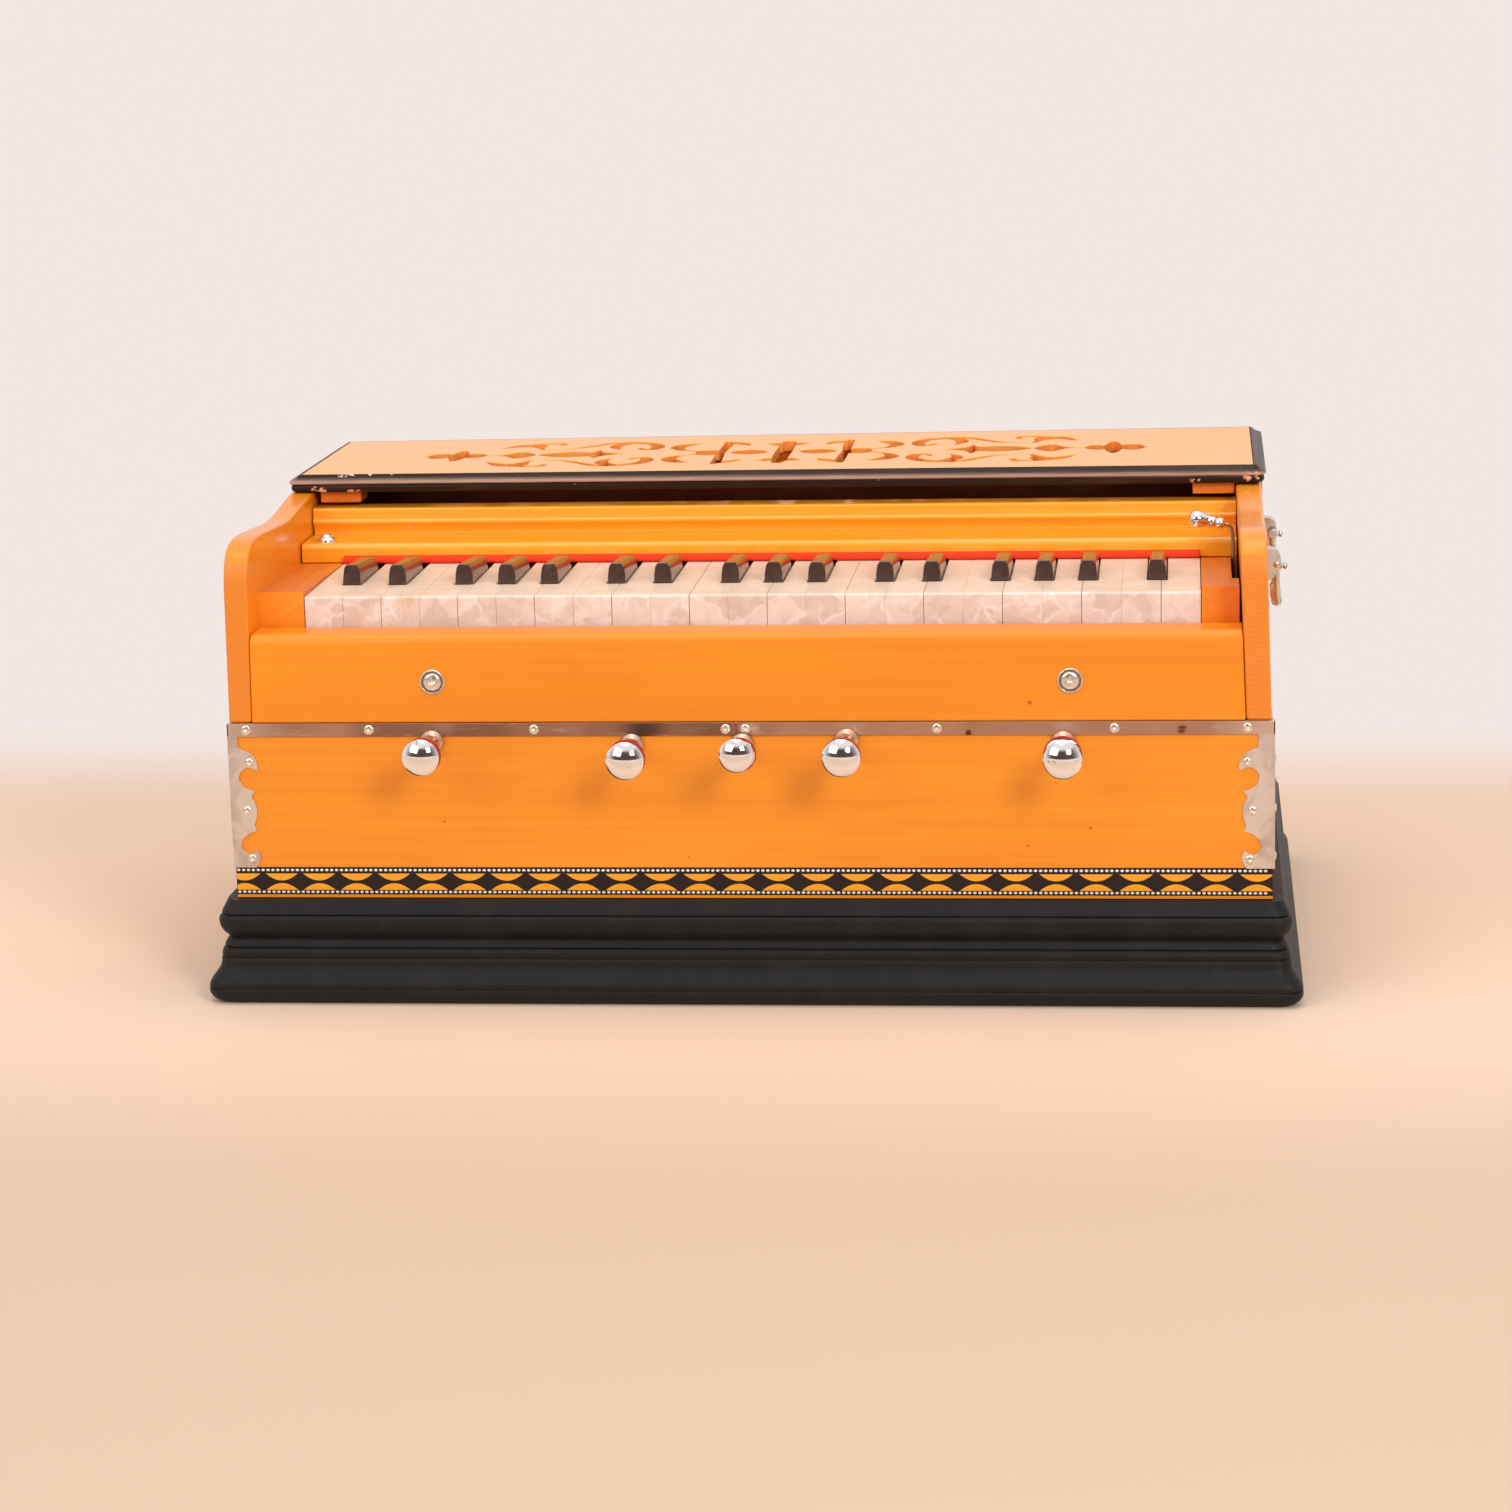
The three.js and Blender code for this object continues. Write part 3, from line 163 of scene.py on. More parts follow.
class Look(Nodes):
    """A principled material. Its textures are looked up at its place, in metres."""

    def __init__(self, name, color, roughness=0.5, **sockets):
        self.material = bpy.data.materials.new(name)
        self.material.use_nodes = True
        super().__init__(self.material.node_tree)
        self.shader = self.tree.nodes["Principled BSDF"]
        self.color(color)
        self.rough(roughness)
        for socket, value in sockets.items():
            self.shader.inputs[socket.replace("_", " ")].default_value = value
        self.place = self.node("TexCoord").outputs["Object"]

    def color(self, value):
        self.set(self.shader.inputs["Base Color"], value)

    def rough(self, value):
        self.set(self.shader.inputs["Roughness"], value)

    def mapped(self, **settings):
        """The place scaled, moved or turned."""
        made = self.node("Mapping")
        for socket, value in settings.items():
            made.inputs[socket].default_value = value
        self.link(self.place, made.inputs["Vector"])
        return made.outputs[0]

    def axis(self, index):
        made = self.node("SeparateXYZ")
        self.link(self.place, made.inputs[0])
        return made.outputs[index]

    def distance(self, x, y, z):
        """How far the place is from a point in millimetres."""
        made = self.node("VectorMath", operation="DISTANCE")
        self.feed(made, self.place, (x * MM, y * MM, z * MM))
        return made.outputs["Value"]

    def near(self, x, y, z, reach):
        """1 at a point in millimetres, falling to 0 at reach from it."""
        return self.under(self.distance(x, y, z), 0, reach * MM)

    def spots(self, places, low, high):
        """1 in every place of a list of x, y, z and reach, and 0 away from them."""
        mask = 0.0
        for place in places:
            mask = self.most(mask, self.between(self.near(*place), low, high))
        return mask

    def noise(self, scale, stretch=(1, 1, 1), detail=4, roughness=0.55, distortion=0, offset=(0, 0, 0), output="Fac"):
        made = self.node("TexNoise")
        sockets = {"Scale": scale, "Detail": detail, "Roughness": roughness, "Distortion": distortion}
        for socket, value in sockets.items():
            made.inputs[socket].default_value = value
        self.link(self.mapped(Scale=stretch, Location=offset), made.inputs["Vector"])
        return made.outputs[output]

    def voronoi(self, scale, feature="F1", vector=None, output="Distance"):
        made = self.node("TexVoronoi", feature=feature)
        made.inputs["Scale"].default_value = scale
        self.link(vector or self.place, made.inputs["Vector"])
        return made.outputs[output]

    def bump(self, height, distance, strength=1.0, coat=False):
        """Fine relief, distance deep in millimetres. It is the last step, and gives the material."""
        made = self.node("Bump")
        made.inputs["Strength"].default_value = strength
        made.inputs["Distance"].default_value = distance * MM
        self.link(height, made.inputs["Height"])
        self.link(made.outputs[0], self.shader.inputs["Normal"])
        if coat:
            self.link(made.outputs[0], self.shader.inputs["Coat Normal"])
        return self.material


def along(axis, fine, long=0.02):
    """Stretch for fibres that run along one axis."""
    return tuple(long * fine if k == axis else fine for k in range(3))


PLUG = (0.95, 0.5, 0.2)
SPECK = (0.25, 0.06, 0.01)


def varnished(name, axis, pale, deep, coat=0.6, coat_roughness=0.09, streaks=0.5, offset=(0, 0, 0), marks=(), flaws=(),
              turn=None):
    """Lacquered wood whose fibres run along one axis: 0, 1 or 2.

    marks are plugged nail holes and flaws dark specks, as x, y, z and reach."""
    look = Look(name, pale, 0.45, Coat_Weight=coat, Coat_Roughness=coat_roughness, Specular_IOR_Level=0.3)
    if turn:
        look.place = look.mapped(Rotation=turn)
    fibre = look.noise(1.0, along(axis, 420, 0.012), detail=5, roughness=0.6, offset=offset)
    figure = look.noise(1.0, along(axis, 42, 0.09), detail=3, distortion=0.6, offset=offset)
    cloud = look.noise(9.0, detail=2, offset=offset)
    lines = look.between(fibre, 0.36, 0.7)
    broad = look.times(look.between(figure, 0.34, 0.68), 0.62 * streaks)
    patchy = look.times(look.between(cloud, 0.35, 0.7), 0.3 * streaks)
    shade = look.math("ADD", look.math("MULTIPLY_ADD", lines, 0.45 * streaks, broad), patchy, clamp=True)
    tone = look.mix(shade, pale, deep)
    if flaws:
        tone = look.mix(look.times(look.spots(flaws, 0.2, 0.5), 0.6), tone, SPECK)
    if marks:
        tone = look.mix(look.times(look.spots(marks, 0.35, 0.6), 0.6), tone, PLUG)
    look.color(tone)
    look.rough(look.spread(fibre, 0.34, 0.5))
    return look.bump(fibre, 0.035, 0.35, coat=True)


def end_grain(name, pale, deep, centre):
    """The same wood cut across: rings about a centre far below the piece."""
    look = Look(name, pale, 0.45, Coat_Weight=0.35, Coat_Roughness=0.2)
    warp = look.noise(30.0, detail=3)
    ring = look.math("FRACT", look.math("MULTIPLY_ADD", look.distance(*centre), 420.0, look.times(warp, 2.2)))
    look.color(look.mix(look.times(ring, 0.55), pale, deep))
    return look.bump(look.voronoi(900.0), 0.05, 0.3)


# The bare pine's colours, then marks and flaws at x, y, z with their reach
PINE = (0.68, 0.46, 0.26)
PINE_DEEP = (0.52, 0.31, 0.15)
RAIL_MARKS = [(-203.8, 9, 227.3, 3.2), (193.3, 9, 225.3, 2.2), (-5, 9, 229, 1.6)]
CHEEK_MARKS = [(-261, -49.8, 230, 3.4), (-261, 22, 200, 2.2), (261, -60, 205, 2.4)]
CASE_FLAWS = [(179.2, -156, 92.4, 1.3), (146.6, -156, 83, 1.1), (-160, -156, 96, 1.2), (-31, -156, 77, 1.0)]
FRONT_FLAWS = [(148.4, -156, 159, 1.9)]

WOOD_X = varnished("varnish_along_x", 0, (0.9, 0.305, 0.013), (0.74, 0.2, 0.01), 0.4, flaws=CASE_FLAWS)
WOOD_FRONT = varnished("varnish_front_board", 0, (0.9, 0.285, 0.009), (0.75, 0.19, 0.006), 0.25, 0.2, offset=(3, 7, 2),
                       flaws=FRONT_FLAWS)
# The rail's varnish is paler than the case's: painted light on the rail where the lid shades it.
WOOD_RAIL_PAINTED_LIGHT = varnished("varnish_rail_painted_light", 0, (0.98, 0.42, 0.02), (0.92, 0.33, 0.014), 0.8, streaks=0.4, offset=(5, 1, 8),
                      marks=RAIL_MARKS)
WOOD_Y = varnished("varnish_along_y", 1, (0.93, 0.29, 0.009), (0.82, 0.205, 0.006), 0.5, 0.16, streaks=0.4,
                   marks=CHEEK_MARKS)
WOOD_LID = varnished("varnish_lid", 0, (1.0, 0.41, 0.018), (0.93, 0.3, 0.012), 0.75, 0.18, streaks=0.3,
                     offset=(1, 4, 6))
WOOD_BLOCK = varnished("varnish_blocks", 1, (0.88, 0.25, 0.014), (0.62, 0.13, 0.009), 0.22, 0.3, streaks=0.8,
                       offset=(9, 2, 4))
WOOD_BLOCK_END = varnished("block_end_grain", 0, (0.98, 0.36, 0.012), (0.86, 0.22, 0.009), 0.3, streaks=0.9,
                           turn=(0, 0.55, 0))
WOOD_END = end_grain("cheek_end_grain", (0.82, 0.24, 0.008), (0.73, 0.17, 0.006), (200, 0, -300))
WOOD_CUT = varnished("fret_walls", 0, (1.0, 0.4, 0.1), (0.88, 0.24, 0.04), 0.2, 0.4, streaks=0.7)
# Dark varnish that is painted shade: on the back board's inner face under the lid, and in the lever's slot.
WOOD_PAINTED_SHADE = varnished("painted_shade_inside", 0, (0.1, 0.022, 0.008), (0.05, 0.012, 0.006), 0.1, 0.5)
PINE_Y = varnished("bare_pine_keys", 1, PINE, PINE_DEEP, 0.1, 0.6, streaks=0.8)
PINE_X = varnished("bare_pine_pan", 0, PINE, PINE_DEEP, 0.1, 0.6, streaks=0.8)


# Worn places of the lid's moulding: x, y, z and reach, then pale scratches along its upper edge
CHIPS = [
    (-257.5, 8, 247.8, 4.6), (-253.0, 9, 247.5, 4), (-237.0, 11, 246.6, 3.6), (-232.5, 11, 246.6, 3.2),
    (232, 9, 249, 3), (236, 9, 249, 2), (262, 9, 251.0, 4.6), (268, 8, 251.2, 4.4), (60, 9, 251, 2),
    (-110, 9, 250, 1.6),
]
SCRATCHES = [(-243, 15, 255, 4), (-239.6, 15, 255, 4), (-236, 15, 255, 3.5), (-226, 15, 255, 3), (-214, 15, 255, 3)]
# Heights in metres over which its colours change: from the painted shade on the foot to the body, into and out of the
# painted highlight on the slope, to the darker crest
SHADED_FOOT_TOP = (0.2512, 0.2518)
HIGHLIGHT_FOOT = (0.2516, 0.2524)
HIGHLIGHT_TOP = (0.2529, 0.2548)
CREST_FOOT = (0.2544, 0.2556)


def black_moulding():
    """Dark stained lacquer, coloured by height with painted shade on its foot under the nose, a painted highlight on
    its upper slope and a darker crest, and rubbed through to the wood in a few places.
    """
    look = Look("black_moulding", (0.03, 0.013, 0.01), Specular_IOR_Level=0.12, Coat_Weight=0.12, Coat_Roughness=0.16)
    wear = look.noise(620.0, (0.45, 1, 1), detail=6, roughness=0.75)
    ragged = look.spread(look.between(wear, 0.36, 0.64), 0.0, 2.0)

    def worn(places, low, high):
        mask = 0.0
        for place in places:
            mask = look.most(mask, look.times(look.near(*place), ragged))
        return look.between(mask, low, high)

    scuff = look.between(look.noise(90.0, (0.2, 1, 1), detail=5), 0.5, 0.75)
    streak = look.noise(1.0, (40, 900, 900), detail=4)
    high = look.math("MULTIPLY_ADD", streak, 0.0012, look.axis(2))
    # The pale slope is a painted highlight, and the dark foot under the nose is painted shade.
    slope = look.times(look.between(high, *HIGHLIGHT_FOOT), look.under(high, *HIGHLIGHT_TOP))
    body = look.mix(look.between(high, *SHADED_FOOT_TOP), (0.026, 0.01, 0.007), (0.095, 0.05, 0.037))
    body = look.mix(look.between(high, *CREST_FOOT), body, (0.02, 0.008, 0.006))
    dark = look.mix(slope, body, (0.48, 0.3, 0.22))
    dark = look.mix(look.times(scuff, 0.35), dark, (0.12, 0.06, 0.04))
    rubbed = look.mix(look.between(wear, 0.4, 0.6), (0.55, 0.16, 0.04), (0.85, 0.5, 0.32))
    tone = look.mix(worn(CHIPS, 0.5, 0.6), dark, rubbed)
    look.color(look.mix(worn(SCRATCHES, 0.62, 0.7), tone, (0.8, 0.62, 0.5)))
    look.rough(look.spread(wear, 0.25, 0.5))
    return look.bump(wear, 0.04, 0.3)


def satin_paint():
    look = Look("black_satin_paint", (0.014, 0.014, 0.014), Specular_IOR_Level=0.22)
    brush = look.noise(1.0, along(0, 300, 0.03), detail=5)
    dust = look.noise(1.0, (60, 60, 30), detail=6, roughness=0.7)
    look.color(look.mix(look.between(dust, 0.42, 0.72), (0.0085, 0.0083, 0.0081), (0.0135, 0.013, 0.0125)))
    look.rough(look.spread(dust, 0.42, 0.6))
    return look.bump(brush, 0.05, 0.3)


def plated(name, color, low, high, stain=None, speckle=0.0):
    """Plated metal whose roughness runs from low to high, with cloudy stains or small pits."""
    look = Look(name, color, low, Metallic=1.0)
    rub = look.noise(1.0, (90, 90, 260), detail=6, roughness=0.65)
    cloud = look.noise(62.0, (0.6, 1, 0.6), detail=5, distortion=0.6)
    tone = color
    if stain:
        tone = look.mix(look.times(look.between(cloud, 0.44, 0.66), 0.6), color, stain)
    if speckle:
        few = look.between(look.noise(160.0, detail=1), 0.56, 0.6)
        pits = look.times(few, look.math("LESS_THAN", look.voronoi(420.0), speckle))
        tone = look.mix(pits, tone, (0.16, 0.13, 0.12))
    look.color(tone)
    look.rough(look.spread(rub, low, high))
    return look.bump(rub, 0.012, 0.25)


# Places on the band at x, y, z with their reach, and how far out the painted reflection that pales its ends sets in,
# in metres
BAND_STAIN = (-53, -157, 145.5, 15)
BAND_RUST = (116.7, -157, 143.4, 2.6)
BAND_RUST_WIDE = (226.5, -157, 145, 6)
BAND_GLINT_ENDS = (0.235, 0.275)


def worn_band():
    """Thin nickel in brown tones, paled towards its ends by a painted reflection, with fine scuffs along it."""
    look = Look("worn_nickel_band", (0.45, 0.3, 0.23), Metallic=1.0)
    broad = look.noise(1.0, (9, 4, 4), detail=3)
    scuff = look.noise(1.0, (60, 200, 500), detail=6, roughness=0.7)
    tone = look.mix(look.between(broad, 0.38, 0.62), (0.3, 0.155, 0.105), (0.58, 0.34, 0.24))
    tone = look.mix(look.times(look.between(scuff, 0.56, 0.74), 0.5), tone, (0.8, 0.66, 0.58))
    tone = look.mix(look.times(look.near(*BAND_STAIN), 0.85), tone, (0.05, 0.024, 0.02))
    rust = look.most(look.near(*BAND_RUST), look.times(look.near(*BAND_RUST_WIDE), scuff))
    tone = look.mix(look.between(rust, 0.2, 0.5), tone, (0.2, 0.055, 0.025))
    # The paler ends are a painted reflection.
    ends = look.between(look.math("ABSOLUTE", look.axis(0)), *BAND_GLINT_ENDS)
    look.color(look.mix(look.times(ends, 0.7), tone, (0.85, 0.72, 0.64)))
    look.rough(look.spread(scuff, 0.24, 0.42))
    return look.bump(scuff, 0.012, 0.3)


def red_lacquer():
    look = Look("red_lacquer_ring", (0.42, 0.01, 0.006), Coat_Weight=0.6, Coat_Roughness=0.1)
    look.rough(look.spread(look.noise(500.0), 0.2, 0.32))
    return look.material


NICKEL = plated("nickel_plate", (0.9, 0.82, 0.78), 0.25, 0.45, stain=(0.46, 0.36, 0.3))
# The collars' plate and the lugs' rivets are tinted brown: a painted reflection of the orange wood and band round
# them.
REFLECTION_TINTED_PLATE = plated("reflection_tinted_plate", (0.7, 0.5, 0.38), 0.24, 0.34)
SCREW = plated("screw_heads", (0.86, 0.77, 0.66), 0.22, 0.36)
BAND_METAL = worn_band()
BRIGHT_NICKEL = plated("bright_nickel", (0.84, 0.79, 0.72), 0.14, 0.28)
# The cups' grooves are coloured dark as painted shade.
PAINTED_SHADE_GROOVE = plated("painted_shade_groove", (0.32, 0.24, 0.19), 0.35, 0.5)
BAIL_PLATE = plated("bail_plate", (0.66, 0.62, 0.59), 0.08, 0.22, stain=(0.2, 0.16, 0.14), speckle=0.12)
CHROME = plated("chrome_plate", (0.9, 0.91, 0.93), 0.05, 0.11, speckle=0.16)
STEEL = plated("spring_steel", (0.42, 0.38, 0.35), 0.25, 0.4)
RED_RING = red_lacquer()
PAINT = satin_paint()
MOULDING = black_moulding()


# Where the keys' stains fade, in metres: to the right of the lowest keys, and from fronts to tops
STAIN_RIGHT = (-0.2, -0.08)
STAIN_FRONT = (-0.129, -0.124)


def pearl(name, shaded, lit, veins):
    """Pearly celluloid: faint angular cells with paler veins, stained brown on the lowest keys."""
    look = Look(name, lit, Coat_Weight=0.2, Coat_Roughness=0.25)
    push = look.noise(70.0, detail=5, roughness=0.5, output="Color")
    where = look.feed(look.node("VectorMath", operation="MULTIPLY_ADD"), push, (0.016, 0.016, 0.016), look.place)
    edge = look.voronoi(62.0, "DISTANCE_TO_EDGE", where)
    cell = look.voronoi(62.0, "F1", where, "Color")
    fine = look.voronoi(210.0, "F1", where, "Color")
    grey = look.node("SeparateColor")
    look.link(look.mix(0.4, cell, fine), grey.inputs[0])
    tone = look.mix(grey.outputs[0], shaded, lit)
    some = look.between(look.noise(60.0, detail=3), 0.4, 0.62)
    vein = look.times(look.under(edge, 0.0, 0.11), look.times(some, veins))
    tone = look.mix(vein, tone, (0.93, 0.87, 0.84))
    stain = look.noise(26.0, detail=6, roughness=0.72)
    fronts = look.spread(look.under(look.axis(1), *STAIN_FRONT), 0.15, 1.0)
    place = look.times(look.under(look.axis(0), *STAIN_RIGHT), fronts)
    tone = look.mix(look.times(place, look.between(stain, 0.46, 0.6)), tone, (0.78, 0.55, 0.36))
    rim = look.under(look.math("ABSOLUTE", look.math("SUBTRACT", stain, 0.57)), 0, 0.02)
    look.color(look.mix(look.times(place, look.times(rim, 0.55)), tone, (0.5, 0.25, 0.1)))
    look.rough(look.spread(grey.outputs[1], 0.36, 0.5))
    return look.bump(edge, 0.03, 0.1)


def ebony(name, **coat):
    look = Look(name, (0.03, 0.02, 0.015), **coat)
    fibre = look.noise(1.0, along(1, 380, 0.02), detail=4)
    rubbed = look.between(look.noise(140.0, (1, 0.3, 1), detail=4), 0.55, 0.75)
    tone = look.mix(fibre, (0.03, 0.01, 0.006), (0.075, 0.03, 0.017))
    look.color(look.mix(look.times(rubbed, 0.5), tone, (0.15, 0.075, 0.05)))
    look.rough(look.spread(fibre, 0.26, 0.42))
    return look.bump(fibre, 0.02, 0.2)


def felt():
    look = Look("red_felt", (0.85, 0.04, 0.012), 0.95, Specular_IOR_Level=0.1, Sheen_Weight=0.1, Sheen_Roughness=0.5)
    fuzz = look.noise(1400.0, detail=3)
    look.color(look.mix(fuzz, (0.74, 0.022, 0.006), (0.98, 0.075, 0.02)))
    return look.bump(fuzz, 0.25, 0.7)


def fold_cloth():
    look = Look("bellows_cloth", (0.1, 0.012, 0.01), Sheen_Weight=0.3, Sheen_Roughness=0.4)
    warp, weft = [look.math("SINE", look.times(look.axis(k), 9000.0)) for k in (0, 2)]
    age = look.noise(35.0, detail=5)
    look.color(look.mix(look.between(age, 0.4, 0.7), (0.13, 0.012, 0.01), (0.07, 0.01, 0.009)))
    look.rough(look.spread(age, 0.75, 0.95))
    return look.bump(look.times(warp, weft), 0.08, 0.4)


def leather_edge():
    look = Look("bellows_edge_leather", (0.02, 0.014, 0.012), 0.6)
    look.color(look.mix(look.noise(120.0, detail=3), (0.015, 0.01, 0.009), (0.035, 0.024, 0.02)))
    return look.bump(look.voronoi(900.0), 0.12, 0.5)


def printed(name, color):
    """One ink of the printed tape, under the same lacquer as the wood."""
    look = Look(name, color, Specular_IOR_Level=0.3, Coat_Weight=0.08, Coat_Roughness=0.2)
    rub = look.noise(500.0, detail=3)
    look.color(look.mix(rub, tuple(0.8 * c for c in color), color))
    return look.bump(rub, 0.01, 0.2)


PEARL = pearl("pearl_tops", (0.84, 0.6, 0.44), (0.93, 0.71, 0.56), 0.25)
PEARL_FRONT = pearl("pearl_fronts", (0.64, 0.49, 0.42), (0.84, 0.72, 0.66), 0.55)
EBONY = ebony("black_key_lacquer", Coat_Weight=0.6, Coat_Roughness=0.12)
EBONY_FRONT = ebony("black_key_front_lacquer", Coat_Weight=1.0, Coat_Roughness=0.18, Coat_IOR=1.6)
FELT = felt()
CLOTH = fold_cloth()
EDGE_LEATHER = leather_edge()
TAPE_DARK = printed("tape_dark", (0.017, 0.007, 0.0055))
TAPE_ORANGE = printed("tape_orange", (0.95, 0.38, 0.02))
TAPE_WHITE = printed("tape_white", (0.85, 0.78, 0.7))


# Mesh helpers


def frame_at(centre, direction):
    """A matrix whose local +Z points along direction, set at centre."""
    turn = Vector(direction).to_track_quat("Z", "Y")
    return Matrix.Translation(Vector(centre)) @ turn.to_matrix().to_4x4()


class Piece:
    """Gathers faces in millimetres, and becomes one object that rides on a body."""

    def __init__(self):
        self.points = []
        self.faces = []
        self.slots = []

    def add(self, points, faces, slot=0, place=None):
        start = len(self.points)
        for point in points:
            self.points.append(place @ Vector(point) if place else Vector(point))
        for face in faces:
            self.faces.append([start + k for k in face])
            self.slots.append(slot)

    def skin(self, rings, slot=0, place=None, caps=True, loop=False):
        """Faces between closed rings of equal length. With loop the last ring meets the first."""
        count = len(rings[0])
        faces = []
        for r in range(len(rings) if loop else len(rings) - 1):
            below, above = r * count, (r + 1) % len(rings) * count
            for k in range(count):
                n = (k + 1) % count
                faces.append([below + k, below + n, above + n, above + k])
        if caps and not loop:
            faces.append(list(reversed(range(count))))
            faces.append([(len(rings) - 1) * count + k for k in range(count)])
        self.add([point for ring in rings for point in ring], faces, slot, place)

    def turned(self, profile, sides, place, slot=0, caps=True):
        """A turned form: profile is [radius, height] along the local +Z, and a radius of 0.01 closes it."""
        circle = [(cos(2 * pi * k / sides), sin(2 * pi * k / sides)) for k in range(sides)]
        rings = [[(radius * c, radius * s, height) for c, s in circle] for radius, height in profile]
        self.skin(rings, slot, place, caps)

    def tube(self, path, radius, sides, slot=0):
        """A round tube along a path."""
        path = [Vector(p) for p in path]
        rings = []
        side = None
        for before, point, after in zip(path[:1] + path, path, path[1:] + path[-1:]):
            heading = (after - before).normalized()
            if side is None:
                side = heading.orthogonal().normalized()
            side = (side - heading * side.dot(heading)).normalized()
            other = heading.cross(side)
            rings.append([
                point + radius * (side * cos(2 * pi * j / sides) + other * sin(2 * pi * j / sides))
                for j in range(sides)
            ])
        self.skin(rings, slot)

    def block(self, low, high):
        (x0, y0, z0), (x1, y1, z1) = low, high
        self.skin([[(x0, y0, z), (x1, y0, z), (x1, y1, z), (x0, y1, z)] for z in (z0, z1)])

    def done(self, name, body, looks, finish, replaces=(), **rounding):
        mesh = bpy.data.meshes.new(name)
        mesh.from_pydata([p * MM for p in self.points], [], self.faces)
        mesh.polygons.foreach_set("material_index", self.slots)
        return settle(name, mesh, body, looks, finish, replaces, **rounding)


def even_normals(piece):
    piece.modifiers.new("even_normals", "WEIGHTED_NORMAL").keep_sharp = True


def settle(name, mesh, body, looks, finish, replaces, smooth=40, bevel=0.0, segments=2):
    """Cleans a mesh and makes it a piece that rides on a body."""
    tidy = bmesh.new()
    tidy.from_mesh(mesh)
    bmesh.ops.delete(tidy, geom=[v for v in tidy.verts if not v.link_faces], context="VERTS")
    bmesh.ops.remove_doubles(tidy, verts=tidy.verts, dist=1e-6)
    bmesh.ops.recalc_face_normals(tidy, faces=tidy.faces)
    tidy.to_mesh(mesh)
    tidy.free()
    for look in looks:
        mesh.materials.append(look)
    mesh.shade_smooth()
    piece = bpy.data.objects.new(name, mesh)
    bpy.context.scene.collection.objects.link(piece)
    if bevel:
        rounding = piece.modifiers.new("rounding", "BEVEL")
        rounding.width = bevel * MM
        rounding.segments = segments
        rounding.limit_method = "ANGLE"
        rounding.angle_limit = radians(smooth)
        rounding.use_clamp_overlap = True
        even_normals(piece)
    else:
        mesh.set_sharp_from_angle(angle=radians(smooth))
    if body:
        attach(piece, body)
    if replaces:
        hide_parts(*replaces)
    return piece


def softened(node, body, looks, finish, pick=None, cuts=(), drop=None, shape=None, bevel=0.8, segments=2, smooth=32):
    """A copy of a model node with rounded edges, and with materials picked face by face.

    cuts are planes (point, normal) that split faces, drop says which faces go, and shape
    moves points."""
    mesh = bpy.data.meshes.new(node + "_soft")
    work = bmesh.new()
    work.from_mesh(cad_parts[node].data)
    bmesh.ops.remove_doubles(work, verts=work.verts, dist=1e-6)
    bmesh.ops.dissolve_limit(work, angle_limit=radians(1), verts=work.verts, edges=work.edges)
    for point, normal in cuts:
        geometry = work.verts[:] + work.edges[:] + work.faces[:]
        bmesh.ops.bisect_plane(work, geom=geometry, plane_co=Vector(point) * MM, plane_no=normal, dist=1e-7)
    if drop:
        gone = [f for f in work.faces if drop(f.calc_center_median_weighted() / MM)]
        bmesh.ops.delete(work, geom=gone, context="FACES")
        bmesh.ops.holes_fill(work, edges=[e for e in work.edges if e.is_boundary])
    for face in work.faces:
        face.material_index = pick(face.calc_center_median_weighted() / MM, face.normal) if pick else 0
    if shape:
        for point in work.verts:
            point.co = shape(point.co / MM) * MM
    work.to_mesh(mesh)
    work.free()
    return settle(node + "_piece", mesh, body, looks, finish, [node], smooth, bevel, segments)


def smooth_line(points, steps):
    """A Catmull-Rom line through points of any dimension."""
    last = len(points) - 1
    line = []
    for k in range(last):
        picked = [points[min(max(k + offset, 0), last)] for offset in (-1, 0, 1, 2)]
        for step in range(steps):
            t = step / steps
            weights = (
                0.5 * (-t + 2 * t * t - t ** 3),
                0.5 * (2 - 5 * t * t + 3 * t ** 3),
                0.5 * (t + 4 * t * t - 3 * t ** 3),
                0.5 * (-t * t + t ** 3),
            )
            line.append(tuple(sum(w * p[d] for w, p in zip(weights, picked)) for d in range(len(points[0]))))
    return line + [tuple(points[-1])]


def turned_left(ring):
    """The ring itself, or reversed so that it runs counter-clockwise."""
    area = sum(a[0] * b[1] - b[0] * a[1] for a, b in zip(ring, ring[1:] + ring[:1]))
    return ring if area > 0 else ring[::-1]


